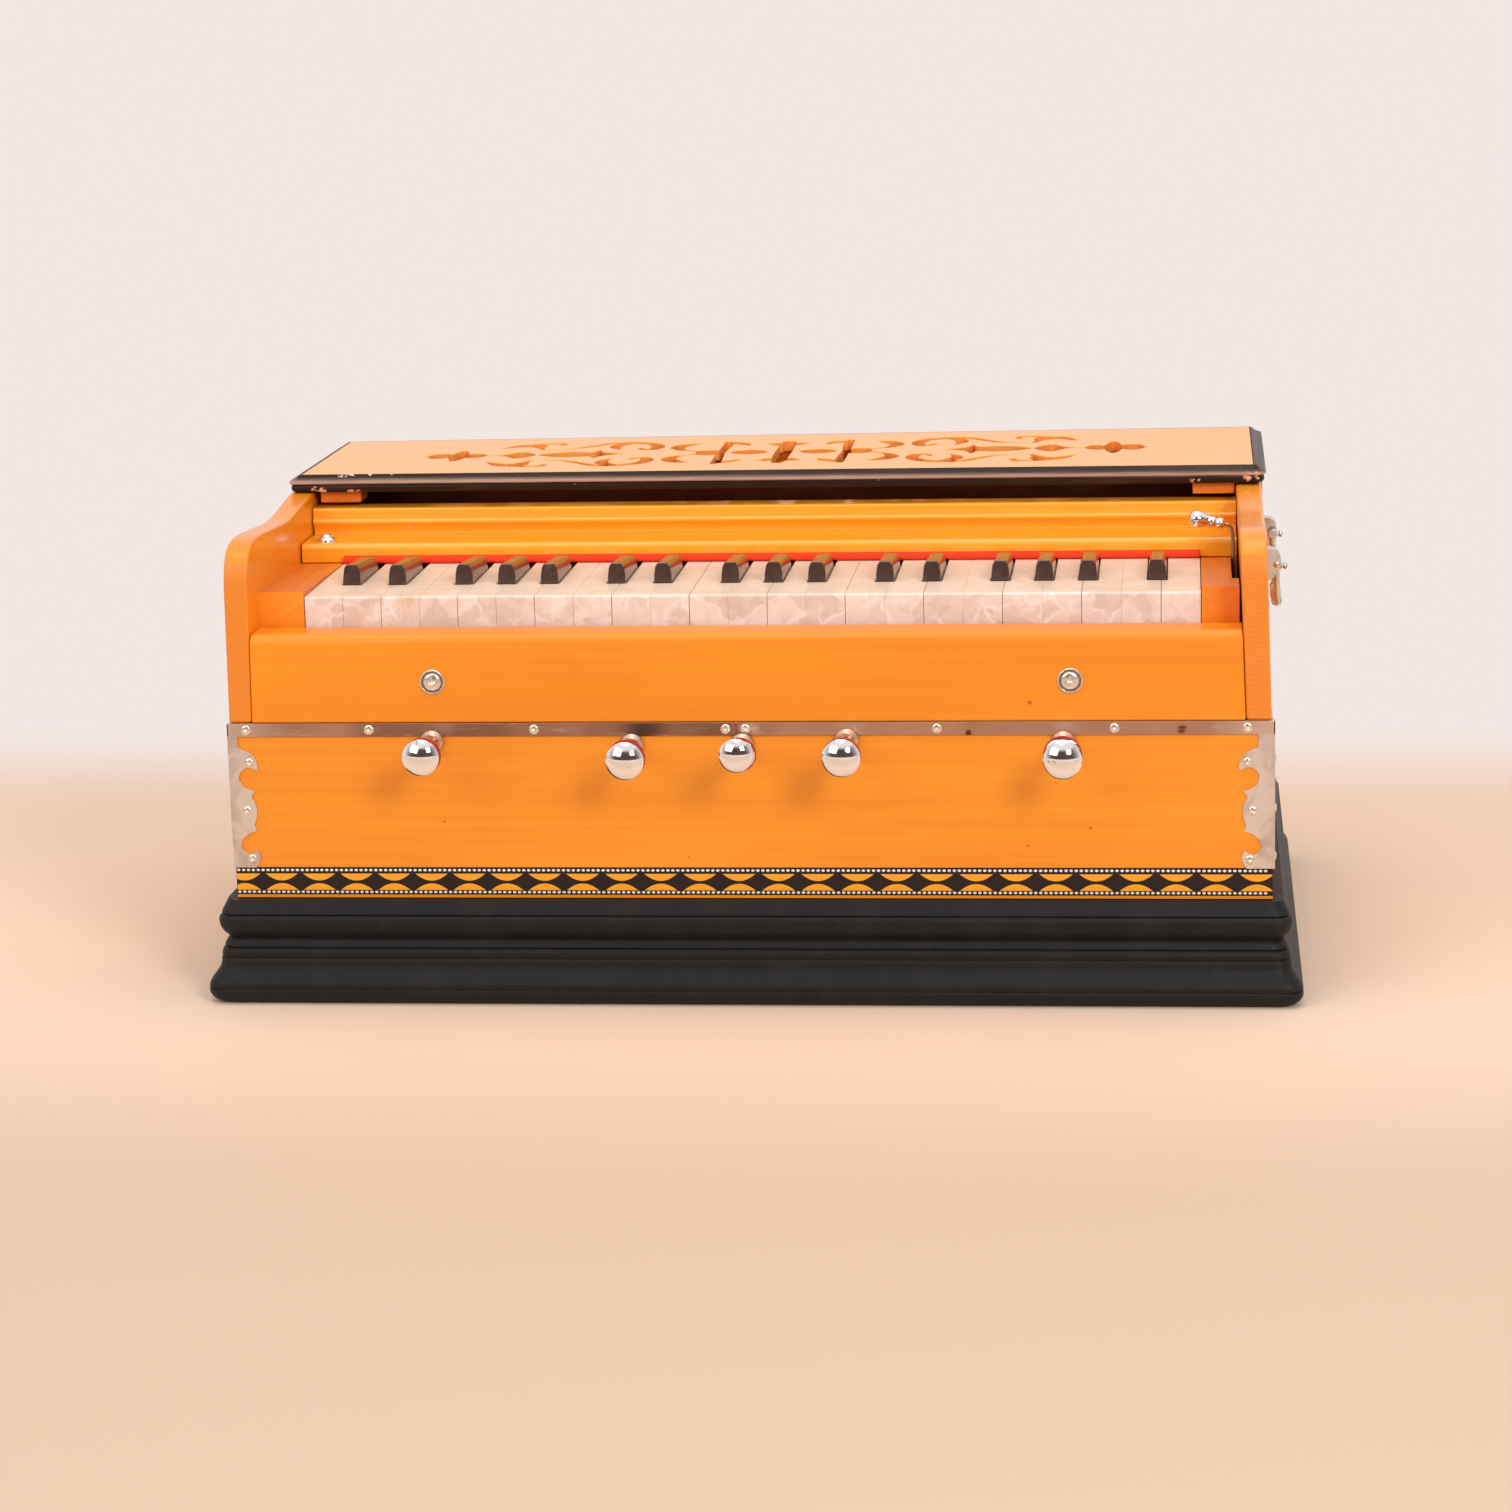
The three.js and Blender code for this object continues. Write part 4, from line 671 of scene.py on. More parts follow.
def plate(outline, holes, low, high, ease=0.0):
    """Points and faces of a flat plate between two heights, with overlapping holes merged.

    ease cuts its upper edges off at a slant."""
    loops = [turned_left(ring) for ring in (outline, *holes)]
    points = []
    faces = []
    for ring in loops:
        faces.append([len(points) + k for k in range(len(ring))])
        points += [Vector(p) for p in ring]
    spots, _, triangles, _, _, owners = delaunay_2d_cdt(points, [], faces, 0, 1e-5)
    kept = [t for t, owner in zip(triangles, owners) if owner == [0]]
    sides = {(t[k], t[(k + 1) % 3]) for t in kept for k in range(3)}
    rim = [(a, b) for a, b in sides if (b, a) not in sides]
    moves = {}
    for a, b in rim:
        heading = (spots[b] - spots[a]).normalized()
        for k in (a, b):
            moves.setdefault(k, []).append(Vector((-heading.y, heading.x)))
    upper = [p.copy() for p in spots]
    for k, ways in moves.items():
        total = sum(ways, Vector((0, 0)))
        if total.length > 0.2:
            upper[k] += total.normalized() * ease / max(total.length / len(ways), 0.7)
    count = len(spots)
    made = [(p.x, p.y, high) for p in upper] + [(p.x, p.y, low) for p in spots]
    built = [list(t) for t in kept]
    built += [[count + k for k in reversed(t)] for t in kept]
    shoulder = 0
    if ease:
        shoulder = 2 * count
        made += [(p.x, p.y, high - ease) for p in spots]
        built += [[b, a, shoulder + a, shoulder + b] for a, b in rim]
    built += [[shoulder + b, shoulder + a, count + a, count + b] for a, b in rim]
    return made, built


# Screws: a domed head with a cross recess, some in a turned cup of [share of its radius, height]
SCREW_CELLS = 14
CROSS_HALF = 0.08
CROSS_REACH = 0.55
CROSS_DEPTH = 0.13
CUP_RIM = [(1, 0), (0.995, 0.4), (0.96, 0.8), (0.92, 0.98), (0.88, 0.95), (0.85, 0.75)]
CUP_GROOVE = [(0.85, 0.75), (0.8, 0.3), (0.3, 0.15)]


def screw_head(piece, centre, direction, radius, slot=0, turn=0.0, rise=0.42):
    """A domed head with a cross-shaped recess, on a square grid bent onto a disc."""
    place = frame_at(centre, direction) @ Matrix.Rotation(turn, 4, "Z")
    points = []
    for j in range(SCREW_CELLS + 1):
        for k in range(SCREW_CELLS + 1):
            u, v = 2 * j / SCREW_CELLS - 1, 2 * k / SCREW_CELLS - 1
            x = u * sqrt(1 - v * v / 2) * radius
            y = v * sqrt(1 - u * u / 2) * radius
            away = hypot(x, y) / radius
            height = rise * radius * sqrt(max(0.0, 1 - away * away))
            if min(abs(u), abs(v)) < CROSS_HALF and away < CROSS_REACH:
                height -= CROSS_DEPTH * radius * (1 - away)
            points.append((x, y, height))
    row = SCREW_CELLS + 1
    faces = [
        [j * row + k, (j + 1) * row + k, (j + 1) * row + k + 1, j * row + k + 1]
        for j in range(SCREW_CELLS) for k in range(SCREW_CELLS)
    ]
    piece.add(points, faces, slot, place)
    piece.turned([(radius, 0), (radius * 1.01, -0.25)], 28, place, slot, caps=False)


def cup_washer(piece, centre, direction, radius):
    """A turned cup: a round rim in slot 0 and, in slot 1, the groove round its screw, coloured dark as painted shade.
    """
    place = frame_at(centre, direction)
    for slot, profile in enumerate((CUP_RIM, CUP_GROOVE)):
        piece.turned([(share * radius, z) for share, z in profile], 40, place, slot, caps=False)


# Plinth: its moulding from the underside up, as [distance out from the case, height]
PLINTH_PROFILE = [
    (9.0, 0.0), (12.6, 0.9), (14.6, 2.6), (15.8, 5.2), (16.0, 7.4), (15.4, 8.1), (15.9, 8.9), (15.4, 11.0),
    (14.2, 13.2), (12.2, 15.8), (10.6, 18.4), (10.0, 20.8), (9.9, 23.0), (9.2, 23.8), (9.7, 24.5), (9.5, 26.2),
    (9.0, 27.8), (8.2, 28.6), (7.4, 29.1), (8.2, 29.7), (7.8, 30.8), (7.1, 32.2), (6.6, 33.1), (5.8, 33.8),
    (6.4, 34.6), (7.3, 35.7), (8.5, 37.2), (9.5, 39.2), (10.1, 41.4), (10.3, 43.6), (10.0, 45.4), (9.2, 46.3),
    (8.2, 46.9), (8.9, 47.5), (8.4, 49.0), (7.4, 50.8), (6.6, 52.6), (5.7, 54.4),
]
PLINTH_CORNER = 9.0
PLINTH_CORNER_STEPS = 9


def rounded_ring(half_x, half_y, radius, z, steps):
    ring = []
    for sign_x, sign_y, quarter in ((1, 1, 0), (-1, 1, 1), (-1, -1, 2), (1, -1, 3)):
        for k in range(steps + 1):
            angle = (quarter + k / steps) * pi / 2
            ring.append((
                sign_x * (half_x - radius) + radius * cos(angle),
                sign_y * (half_y - radius) + radius * sin(angle), z,
            ))
    return ring


def make_plinth():
    piece = Piece()
    piece.skin([
        rounded_ring(SIDE + out, out - FRONT, PLINTH_CORNER, z, PLINTH_CORNER_STEPS) for out, z in PLINTH_PROFILE
    ])
    piece.done("plinth_moulding", "case", [PAINT], "plinth_paint", ["base_plinth"], smooth=50)


# Wooden case
FELT_TOP = rail_low.z + 3.5
FELT_ENDS = (-235.15, 236.35)
CASE_WALL = 11
CHEST_FRONT = -145
BACK_BOARD = 117
LEVER_SLOT = 252.6
SLOT_RUN = (-101, -26.2)
KEYS_END = 234
BLOCK_HEIGHT = 28
BLOCKS_BACK = 30
LEDGE_TOP = FELT_TOP + 6.9
RAIL_LEDGE = 33.2
RAIL_DROP = 2.0
RAIL_ENDS = (rail_low.x + 1.4, rail_high.x - 4.0)
NOSE = 3.4
# The cheeks lean in: [at the foot, per millimetre up] for the inner and the outer face
LEAN = {-1: ((0.0, 0.02), (0.0, 0.01)), 1: ((1.6, 0.035), (0.6, 0.026))}


def leaned(p, inner=None):
    """A cheek's point moved to where the leaning cheek has it."""
    sign = 1 if p.x > 0 else -1
    foot, slope = LEAN[sign][abs(p.x) > SIDE - 6 if inner is None else 1 - inner]
    return Vector((p.x - sign * (foot + slope * (p.z - BAND_TOP)), p.y, p.z))


def make_case():
    def case_face(c, n):
        if abs(c.x) < SIDE - CASE_WALL and CHEST_FRONT < c.y < BACK_BOARD + 2:
            # The back board's inner face gets the dark painted shade.
            return 3 if c.y > BACK_BOARD else 1
        return 2 if abs(n.x) > 0.9 else 0

    def pan_face(c, n):
        in_slot = c.x > LEVER_SLOT - 0.3 and SLOT_RUN[0] < c.y < SLOT_RUN[1] and n.z < 0.9
        # The lever's slot and the pan past it get the dark painted shade.
        if in_slot or c.x > LEVER_SLOT + 3.9:
            return 3
        if abs(c.x) > KEYS_END and c.z > PAN_TOP - BLOCK_HEIGHT and c.y < BLOCKS_BACK:
            return 2 if n.y < -0.9 else 1
        return 0

    softened("lower_case", "case", [WOOD_X, PINE_X, WOOD_Y, WOOD_PAINTED_SHADE], "varnished_wood", bevel=0.7, pick=case_face)
    for side, sign in SIDES:
        softened(
            f"{side}_cheek", "case", [WOOD_Y, WOOD_END], "varnished_wood", pick=lambda c, n: 1 if n.y < -0.9 else 0,
            cuts=[((sign * SIDE, 0, 0), (1, 0, 0))], drop=lambda c: sign * c.x > SIDE + 0.02, shape=leaned,
            bevel=1.6, segments=3, smooth=40,
        )
    softened(
        "front_board", "case", [WOOD_FRONT], "varnished_wood", bevel=0.9, segments=3, smooth=40,
        shape=lambda p: leaned(p, 1),
    )
    softened(
        "key_pan", "case", [PINE_X, WOOD_BLOCK, WOOD_BLOCK_END, WOOD_PAINTED_SHADE], "varnished_wood", bevel=0.6,
        cuts=[((LEVER_SLOT + 3.8, 0, 0), (1, 0, 0))], pick=pan_face,
    )
    make_rail()


# The riser's moulding as [back from its face, up from the ledge], then its top edge, down from the top
RISER_FOOT = [
    (1.3, -0.1), (1.9, 0.5), (1.9, 1.6), (1.5, 3.0), (0.7, 4.4), (0, 5.3), (-0.6, 5.9), (-1.0, 6.5), (-1.1, 7.1),
    (-0.9, 7.7), (-0.3, 8.2), (0.1, 8.6), (0.2, 9.4),
]
RISER_TOP = [(0.3, 1.7), (0.6, 0.8), (1.4, 0.15), (2.4, 0)]
# The felt's section as [back from the ledge's front, down from its top]
FELT_ROLL = [(0.2, 0.02), (-1.7, 0.3), (-3.0, 1.2), (-3.4, 2.2), (-2.9, 3.2), (-1.6, 3.7), (1.0, 3.7)]
FELT_BACK = [(14.3, 3.5), (14.3, 0.02)]


def make_rail():
    """The ledge and riser over the keys, run through in one section, and the felt under it."""
    front, back = rail_low.y, rail_high.y
    low, top = rail_low.z, rail_high.z - RAIL_DROP
    ledge = LEDGE_TOP
    riser = front + RAIL_LEDGE

    def section(bottom):
        turns = [k * pi / 12 for k in range(7)]
        nose = [(front + NOSE * (1 - sin(a)), ledge - NOSE * (1 - cos(a))) for a in turns]
        return [(front, bottom + 0.4)] + nose[::-1] + [
            *[(riser + y, ledge + z) for y, z in RISER_FOOT],
            *[(riser + y, top - z) for y, z in RISER_TOP], (back, top), (back, bottom), (front + 0.4, bottom),
        ]

    rail = Piece()
    runs = [
        (RAIL_ENDS[0], low), (FELT_ENDS[0], low), (FELT_ENDS[0], FELT_TOP), (FELT_ENDS[1], FELT_TOP),
        (FELT_ENDS[1], low), (RAIL_ENDS[1], low),
    ]
    rail.skin([[(x, y, z) for y, z in section(bottom)] for x, bottom in runs])
    even_normals(rail.done("fall_rail_run", "case", [WOOD_RAIL_PAINTED_LIGHT], "varnished_wood", ["fall_rail"], smooth=50))
    strip = Piece()
    roll = smooth_line(FELT_ROLL, 3) + FELT_BACK
    strip.skin([
        [(x, front + y, FELT_TOP - down) for y, down in roll] for x in (FELT_ENDS[0] + 0.2, FELT_ENDS[1] - 0.2)
    ])
    strip.done("felt_strip", "case", [FELT], "varnished_wood", smooth=50)


# Nickel band and corner plates. The plate's inner edge is [distance from the corner, height],
# in runs that meet at sharp tips
PLATE_EDGE = [
    [(4.4, 142.2), (4.4, 136.6)],
    [(4.4, 136.6), (6.9, 135.5), (9.6, 134.4), (12.2, 132.4), (14.0, 129.7), (14.8, 127.1), (14.4, 124.7)],
    [(14.4, 124.7), (12.9, 125.3), (11.1, 126.0), (9.2, 126.1), (7.1, 125.4), (5.5, 123.9), (4.7, 121.7), (5.1, 119.2),
     (6.4, 116.9), (8.5, 115.4), (10.6, 114.6), (13.3, 113.9)],
    [(13.3, 113.9), (11.8, 112.1), (11.2, 110.1)],
    [(11.2, 110.1), (12.6, 108.5), (13.7, 105.8), (14.0, 102.8), (13.6, 99.6), (12.5, 96.7)],
    [(12.5, 96.7), (12.9, 94.9), (13.9, 93.0)],
    [(13.9, 93.0), (10.6, 92.1), (8.0, 90.6), (5.9, 88.2), (5.1, 85.4), (5.9, 83.2), (7.7, 81.6), (9.8, 81.0),
     (12.0, 81.6), (13.7, 83.2)],
    [(13.7, 83.2), (14.9, 81.2), (15.2, 78.5), (14.4, 75.9), (13.0, 73.8)],
]
PLATE_SCREWS = [(10.3, 128.9), (8.7, 103.7), (11.1, 78.4)]
RIGHT_PLATE_SHIFT = 2.5
# For each side, how its plate differs: outward, slant, down and stretch
PLATE_FITS = [(-1, (0.0, 0.03, 0.8, 0.033)), (1, (0.5, 0.043, 1.4, 0.025))]
FIT_START = BAND_TOP + 0.6
FIT_BLEND = 12
FIT_TOP = 129
PLATE_SCREW = 2.5
SIDE_SCREW = 2.45
BAND_SCREW = 2.65
BAND_SCREWS = [-263.9, -198.1, -110.4, -9.6, 0.7, 100.4, 191.9, 260.0]
SEAM = -4.0
SEAM_GAP = 0.25
BAND_THICKNESS = 0.8
PLATE_SHARE = 0.65
BAND_WIDTH = 6.8
BAND_STAND = 0.3
PLATE_UNDER_BAND = 0.6


def make_band():
    outer = SIDE + BAND_STAND
    front = FRONT - BAND_STAND
    low, high = BAND_TOP - BAND_WIDTH, BAND_TOP
    plate_top = high - PLATE_UNDER_BAND
    depth = BAND_THICKNESS
    face = Matrix(((1, 0, 0, 0), (0, 0, 1, 0), (0, 1, 0, 0), (0, 0, 0, 1)))
    side = Matrix(((0, 0, 1, 0), (1, 0, 0, 0), (0, 1, 0, 0), (0, 0, 0, 1)))
    drawn = []
    for run in PLATE_EDGE:
        drawn += smooth_line(run, 3)[:-1]
    drawn.append(PLATE_EDGE[-1][-1])
    plates = Piece()
    band = Piece()
    screws = Piece()
    for sign, (out, slant, down, stretch) in PLATE_FITS:
        def fit(u, z):
            share = min(1, (FIT_START - z) / FIT_BLEND)
            return u + share * (out - slant * (FIT_TOP - z)), z - share * (down + stretch * (FIT_TOP - z))

        edge = [fit(u, z) for u, z in drawn]
        shift = RIGHT_PLATE_SHIFT if sign > 0 else 0
        corner = sign * (outer + depth)
        outline = [(sign * (outer - u - shift), z) for u, z in edge]
        outline += [(corner, edge[-1][1]), (corner, plate_top), (sign * (outer - edge[0][0] - shift), plate_top)]
        plates.add(*plate(outline, [], front - PLATE_SHARE * depth, front), 0, face)
        back = [(front + u, z) for u, z in edge]
        back += [(front - depth, edge[-1][1]), (front - depth, high), (edge[0][0] + front, high)]
        x0 = outer if sign > 0 else -outer - depth
        plates.add(*plate(back, [], x0, x0 + depth), 0, side)
        inner_end = SEAM + sign * SEAM_GAP
        outline = [(corner, low), (corner, high), (inner_end, high), (inner_end, low)]
        band.add(*plate(outline, [], front - depth, front), 0, face)
        for u, z in [fit(*spot) for spot in PLATE_SCREWS]:
            screw_head(screws, (sign * (outer - u - shift), front - 0.6 * depth, z), (0, -1, 0), PLATE_SCREW, turn=z)
            screw_head(screws, (corner, front + u, z), (sign, 0, 0), SIDE_SCREW, turn=z)
    for x in BAND_SCREWS:
        screw_head(screws, (x, front - depth, (low + high) / 2 + 0.1), (0, -1, 0), BAND_SCREW, turn=x, rise=0.3)
    for piece, name, look, replaced in (
        (plates, "corner_plates", NICKEL, ["nickel_band"]), (band, "front_band", BAND_METAL, []),
    ):
        made = piece.done(name, "case", [look], "nickel", replaced, bevel=0.16)
        made.modifiers["rounding"].use_clamp_overlap = False
    screws.done("band_screws", "case", [SCREW], "nickel", smooth=30)


# Printed tape: a dark field with two rows of white dots and pairs of orange lenses. From the
# tenth pair on, the drift makes each repeat longer
TAPE_LOW = 56.4
TAPE_HIGH = 71.3
TAPE_REPEAT = 20.15
TAPE_DRIFT = (9, 0.58)
TAPE_LENS = 17.2
TAPE_FIRST_LENS = 4.3
TAPE_DOT_STEP = 2.64
TAPE_DOT = (0.93, 0.7)
TAPE_DOT_HEIGHTS = (57.8, 69.7)
TAPE_LENS_HEIGHTS = ((58.9, 62.5), (67.8, 64.0))
TAPE_STAND = 0.12
INK_STAND = 0.04


def make_tape():
    piece = Piece()

    def printed_run(half, place):
        """One straight run of the tape; place turns [along, out, z] into a point."""
        def prism(outline, back, front, slot):
            count = len(outline)
            piece.add([place(u, front, z) for u, z in outline] + [place(u, back, z) for u, z in outline], [
                list(range(count)),
                *[[k, (k + 1) % count, count + (k + 1) % count, count + k] for k in range(count)],
            ], slot)

        prism([(-half, TAPE_LOW), (half, TAPE_LOW), (half, TAPE_HIGH), (-half, TAPE_HIGH)], 0.02, TAPE_STAND, 0)
        for z in TAPE_DOT_HEIGHTS:
            for k in range(int(2 * half / TAPE_DOT_STEP)):
                u = -half + (k + 0.5) * TAPE_DOT_STEP
                prism([
                    (u + TAPE_DOT[0] * cos(a), z + TAPE_DOT[1] * sin(a))
                    for a in [pi * (0.125 + j / 4) for j in range(8)]
                ], TAPE_STAND - 0.01, TAPE_STAND + INK_STAND, 2)
        for k in range(int(2 * half / TAPE_REPEAT) + 1):
            middle = -half + TAPE_FIRST_LENS + k * TAPE_REPEAT + max(0, k - TAPE_DRIFT[0]) * TAPE_DRIFT[1]
            for edge, crown in TAPE_LENS_HEIGHTS:
                line = []
                for t in [2 * j / 14 - 1 for j in range(15)]:
                    u = middle + t * TAPE_LENS / 2
                    line.append((min(max(u, -half + 0.2), half - 0.2), edge + (crown - edge) * (1 - t * t)))
                if line[-1][0] - line[0][0] > 1:
                    prism(line, TAPE_STAND - 0.01, TAPE_STAND + INK_STAND, 1)

    printed_run(SIDE + TAPE_STAND, lambda u, out, z: (u, FRONT - out, z))
    middle = (FRONT + lower_high.y) / 2
    for sign in (-1, 1):
        printed_run((lower_high.y - FRONT) / 2, lambda u, out, z, s=sign: (s * (SIDE + out), middle + s * u, z))
    piece.done("printed_tape", "case", [TAPE_DARK, TAPE_ORANGE, TAPE_WHITE], "varnished_wood", smooth=30)


# Small fixings on the wood: cup washers at [x, z] of the front board, and one on the ledge
CUP_SCREWS = [(-163.4, 171.0), (169.3, 170.5)]
CUP_RADIUS = 6.8
CUP_SCREW = 4.9
LEDGE_SCREW = 3.7
LEDGE_CUP = Vector((-247.4, rail_low.y + 13, LEDGE_TOP))
LEDGE_CUP_PROFILE = [(5.9, 0), (5.8, 0.7), (5.2, 1.5), (4.4, 2.0), (4.0, 1.8), (3.9, 1.4)]
LID_NAILS = (-210.4, -5.0)
NAIL_RADIUS = 1.3


def make_fixings():
    piece = Piece()
    for x, z in CUP_SCREWS:
        cup_washer(piece, (x, FRONT - 0.05, z), (0, -1, 0), CUP_RADIUS)
        screw_head(piece, (x, FRONT - 0.3, z), (0, -1, 0), CUP_SCREW, slot=2, turn=0.3 + x, rise=0.3)
    piece.turned(LEDGE_CUP_PROFILE, 36, frame_at(LEDGE_CUP, (0, 0, 1)))
    screw_head(piece, LEDGE_CUP + Vector((0, 0, 1.5)), (0, 0, 1), LEDGE_SCREW, slot=2, turn=0.8, rise=0.7)
    piece.done("cup_washers", "case", [BRIGHT_NICKEL, PAINTED_SHADE_GROOVE, SCREW], "nickel", smooth=30)
    nails = Piece()
    for x in LID_NAILS:
        screw_head(nails, (x, lid_low.y + 9, lid_high.z - MOULDING_HEIGHT + 0.2), (0, -0.5, -1), NAIL_RADIUS, rise=0.6)
    warped(nails).done("lid_nails", "lid", [BRIGHT_NICKEL], "lid_wood", smooth=30)


# Stop knobs: [radius, distance out from the case front]. The head is a low dome over a red ring,
# and for each stop the loose head, ring and collar sit aside by [right, up]
COLLAR_FORM = [
    (2.0, 1.5), (6.0, 1.5), (6.4, 1.9), (6.2, 2.5), (5.6, 3.0), (4.8, 3.6), (4.2, 4.4), (3.7, 5.6), (3.3, 7.4),
]
NECK = [(3.2, 12.0), (3.2, 20.0), (3.4, 23.0), (4.0, 25.5), (5.2, 28.2), (6.8, 31.0), (8.2, 33.6)]
ROD_RADIUS = 2.0
# The red ring and the head's edge, as shares of the head's radius
RING = [(0.93, 34.6), (0.99, 34.8), (1.01, 35.3), (1.01, 36.8), (0.99, 37.3), (0.93, 37.4)]
HEAD_EDGE = [(0.93, 37.4), (0.98, 37.9), (0.995, 38.2), (1, 38.4)]
HEAD_OUT = 38.6
CAP_ANGLE = radians(47)
CAP_STEPS = 20
STOP_SIDES = 48
STOP_SHIFTS = [
    ((-0.5, -0.2), (0.1, 0.2), (-1.4, 0.2)),
    ((-0.3, -2.1), (0.2, -1.4), (-1.6, -1.8)),
    ((-0.5, 0.6), (0.9, 0.7), (-1.4, -1.9)),
    ((-0.5, -0.8), (-0.4, -0.6), (-0.6, 0.6)),
    ((-0.6, -2.1), (-0.6, 0.0), (-1.2, -0.9)),
]


def make_stops():
    for node, (at_head, at_ring, at_collar) in zip(STOPS, STOP_SHIFTS):
        low, high = box(node)
        radius = (high.x - low.x) / 2
        centre = (low + high) / 2
        rod_back = high.y - FRONT
        rod = [(0.01, -rod_back), (ROD_RADIUS, -rod_back), (ROD_RADIUS, 1.4)]
        ring, head = [[(share * radius, out) for share, out in form] for form in (RING, HEAD_EDGE)]
        curve = radius / sin(CAP_ANGLE)
        for k in range(CAP_STEPS + 1):
            angle = CAP_ANGLE * (1 - k / CAP_STEPS)
            rise = curve * (cos(angle) - cos(CAP_ANGLE))
            head.append((max(curve * sin(angle), 0.01), HEAD_OUT + rise))
        place = frame_at((centre.x, FRONT, centre.z), (0, -1, 0))
        piece = Piece()
        for form, slot in ((rod + COLLAR_FORM, 2), (COLLAR_FORM[-1:] + NECK + ring[:1], 0), (ring, 1), (head, 0)):
            piece.turned(form, STOP_SIDES, place, slot, caps=False)
        stations = [
            (-200, (0, 0)), (1.3, (0, 0)), (COLLAR_FORM[0][1], at_collar), (COLLAR_FORM[-1][1], at_collar),
            (RING[0][1], at_ring), (RING[-1][1], at_ring), (38.0, at_head), (90, at_head),
        ]
        for point in piece.points:
            out = FRONT - point.y
            for (t0, a), (t1, b) in zip(stations, stations[1:]):
                if t0 <= out <= t1:
                    share = (out - t0) / (t1 - t0)
                    point.x += a[0] + (b[0] - a[0]) * share
                    point.z += a[1] + (b[1] - a[1]) * share
                    break
        body = node.replace("knob_", "")
        piece.done(node + "_turned", body, [CHROME, RED_RING, REFLECTION_TINTED_PLATE], "chrome", [node])


# Coupler lever: a bent wire with a turned handle, as [radius, distance from the wire]
LEVER_HANDLE = [
    (0.01, 0), (1.6, 0.1), (2.5, 0.8), (3.1, 2.0), (3.1, 3.4), (2.6, 4.5), (2.2, 5.0), (2.3, 5.3), (2.9, 5.9),
    (3.1, 6.8), (2.9, 7.7), (2.9, 8.5), (3.1, 9.4), (3.6, 10.8), (4.2, 12.4), (4.7, 13.8), (4.9, 15.2), (4.8, 16.6),
    (4.2, 18.0), (3.0, 19.1), (1.4, 19.7), (0.01, 19.9),
]
LEVER_TILT = 0.17
LEVER_HEIGHT = 58.4
LEVER_EYE = [(0.01, -1.7), (1.6, -1.7), (1.7, -1.4), (1.7, 1.4), (1.6, 1.7), (0.01, 1.7)]
WIRE_RADIUS = 1.0
# The wire as [left of its pivot, up]
WIRE = [(0, 0), (0.1, 20), (0.4, 40), (0.6, 50), (1.1, 54.6), (2.2, 57.0), (4.0, 58.0), (5.6, LEVER_HEIGHT)]


def make_lever():
    low, high = box("coupler_lever")
    eye = LEVER_EYE[-1][1]
    x, y, z = high.x - eye, (low.y + high.y) / 2, low.z + eye
    piece = Piece()
    piece.tube(smooth_line([(x - left, y, z + up) for left, up in WIRE], 5), WIRE_RADIUS, 14, slot=1)
    piece.turned(LEVER_EYE, 20, frame_at((x, y, z), (1, 0, 0)), 1)
    heading = (-cos(LEVER_TILT), 0, sin(LEVER_TILT))
    piece.turned(LEVER_HANDLE, 32, frame_at((x - 4.8, y, z + LEVER_HEIGHT), heading))
    piece.done("coupler_lever_turned", "coupler_lever", [CHROME, STEEL], "chrome", ["coupler_lever"])


# Carrying handles, which hang a little outward. The bail is half a wire as [from the middle, down],
# and the turned grip and eyes are [radius, distance along]
BAIL_TILT = 0.03
BAIL_OUT = 3.8
BAIL_HALF = 46.0
BAIL_DROP = 25.5
BAIL_RADIUS = 1.7
BAIL = [(BAIL_HALF, 0.0), (BAIL_HALF, 7.0), (44.8, 15.0), (40.5, 21.8), (33.0, 25.0), (24.0, BAIL_DROP)]
GRIP = [
    (0.01, -24), (2.2, -24), (2.9, -23.2), (2.9, -22.2), (2.3, -21.4), (2.6, -19.5), (3.0, -12), (3.25, -5), (3.3, 0),
    (3.25, 5), (3.0, 12), (2.6, 19.5), (2.3, 21.4), (2.9, 22.2), (2.9, 23.2), (2.2, 24), (0.01, 24),
]
EYE_RADIUS = 2.75
EYE = [(0.01, -2.6), (2.3, -2.6), (2.7, -2.1), (2.7, 2.1), (2.3, 2.5), (1.4, 2.5), (1.4, 7.4), (0.01, 7.4)]


def bail_place(side):
    """The middle and the pivot's height of one handle."""
    low, high = box(f"handle_{side}")
    return (low.y + high.y) / 2, high.z - EYE_RADIUS


def make_handles():
    for side, sign in SIDES:
        middle, pivot = bail_place(side)
        x = sign * (SIDE + BAIL_OUT)
        out, down = sign * sin(BAIL_TILT), cos(BAIL_TILT)
        wire = [(x + z * out, middle + y, pivot - z * down) for y, z in BAIL + [(-y, z) for y, z in reversed(BAIL)]]
        piece = Piece()
        piece.tube(smooth_line(wire, 6), BAIL_RADIUS, 16)
        piece.turned(GRIP, 20, frame_at((x + BAIL_DROP * out, middle, pivot - BAIL_DROP * down), (0, 1, 0)))
        for end in (-1, 1):
            piece.turned(EYE, 20, frame_at((x, middle + end * BAIL_HALF, pivot), (0, end, 0)))
        node = f"handle_{side}"
        piece.done(f"{node}_bail", node, [BAIL_PLATE], "chrome", [node])


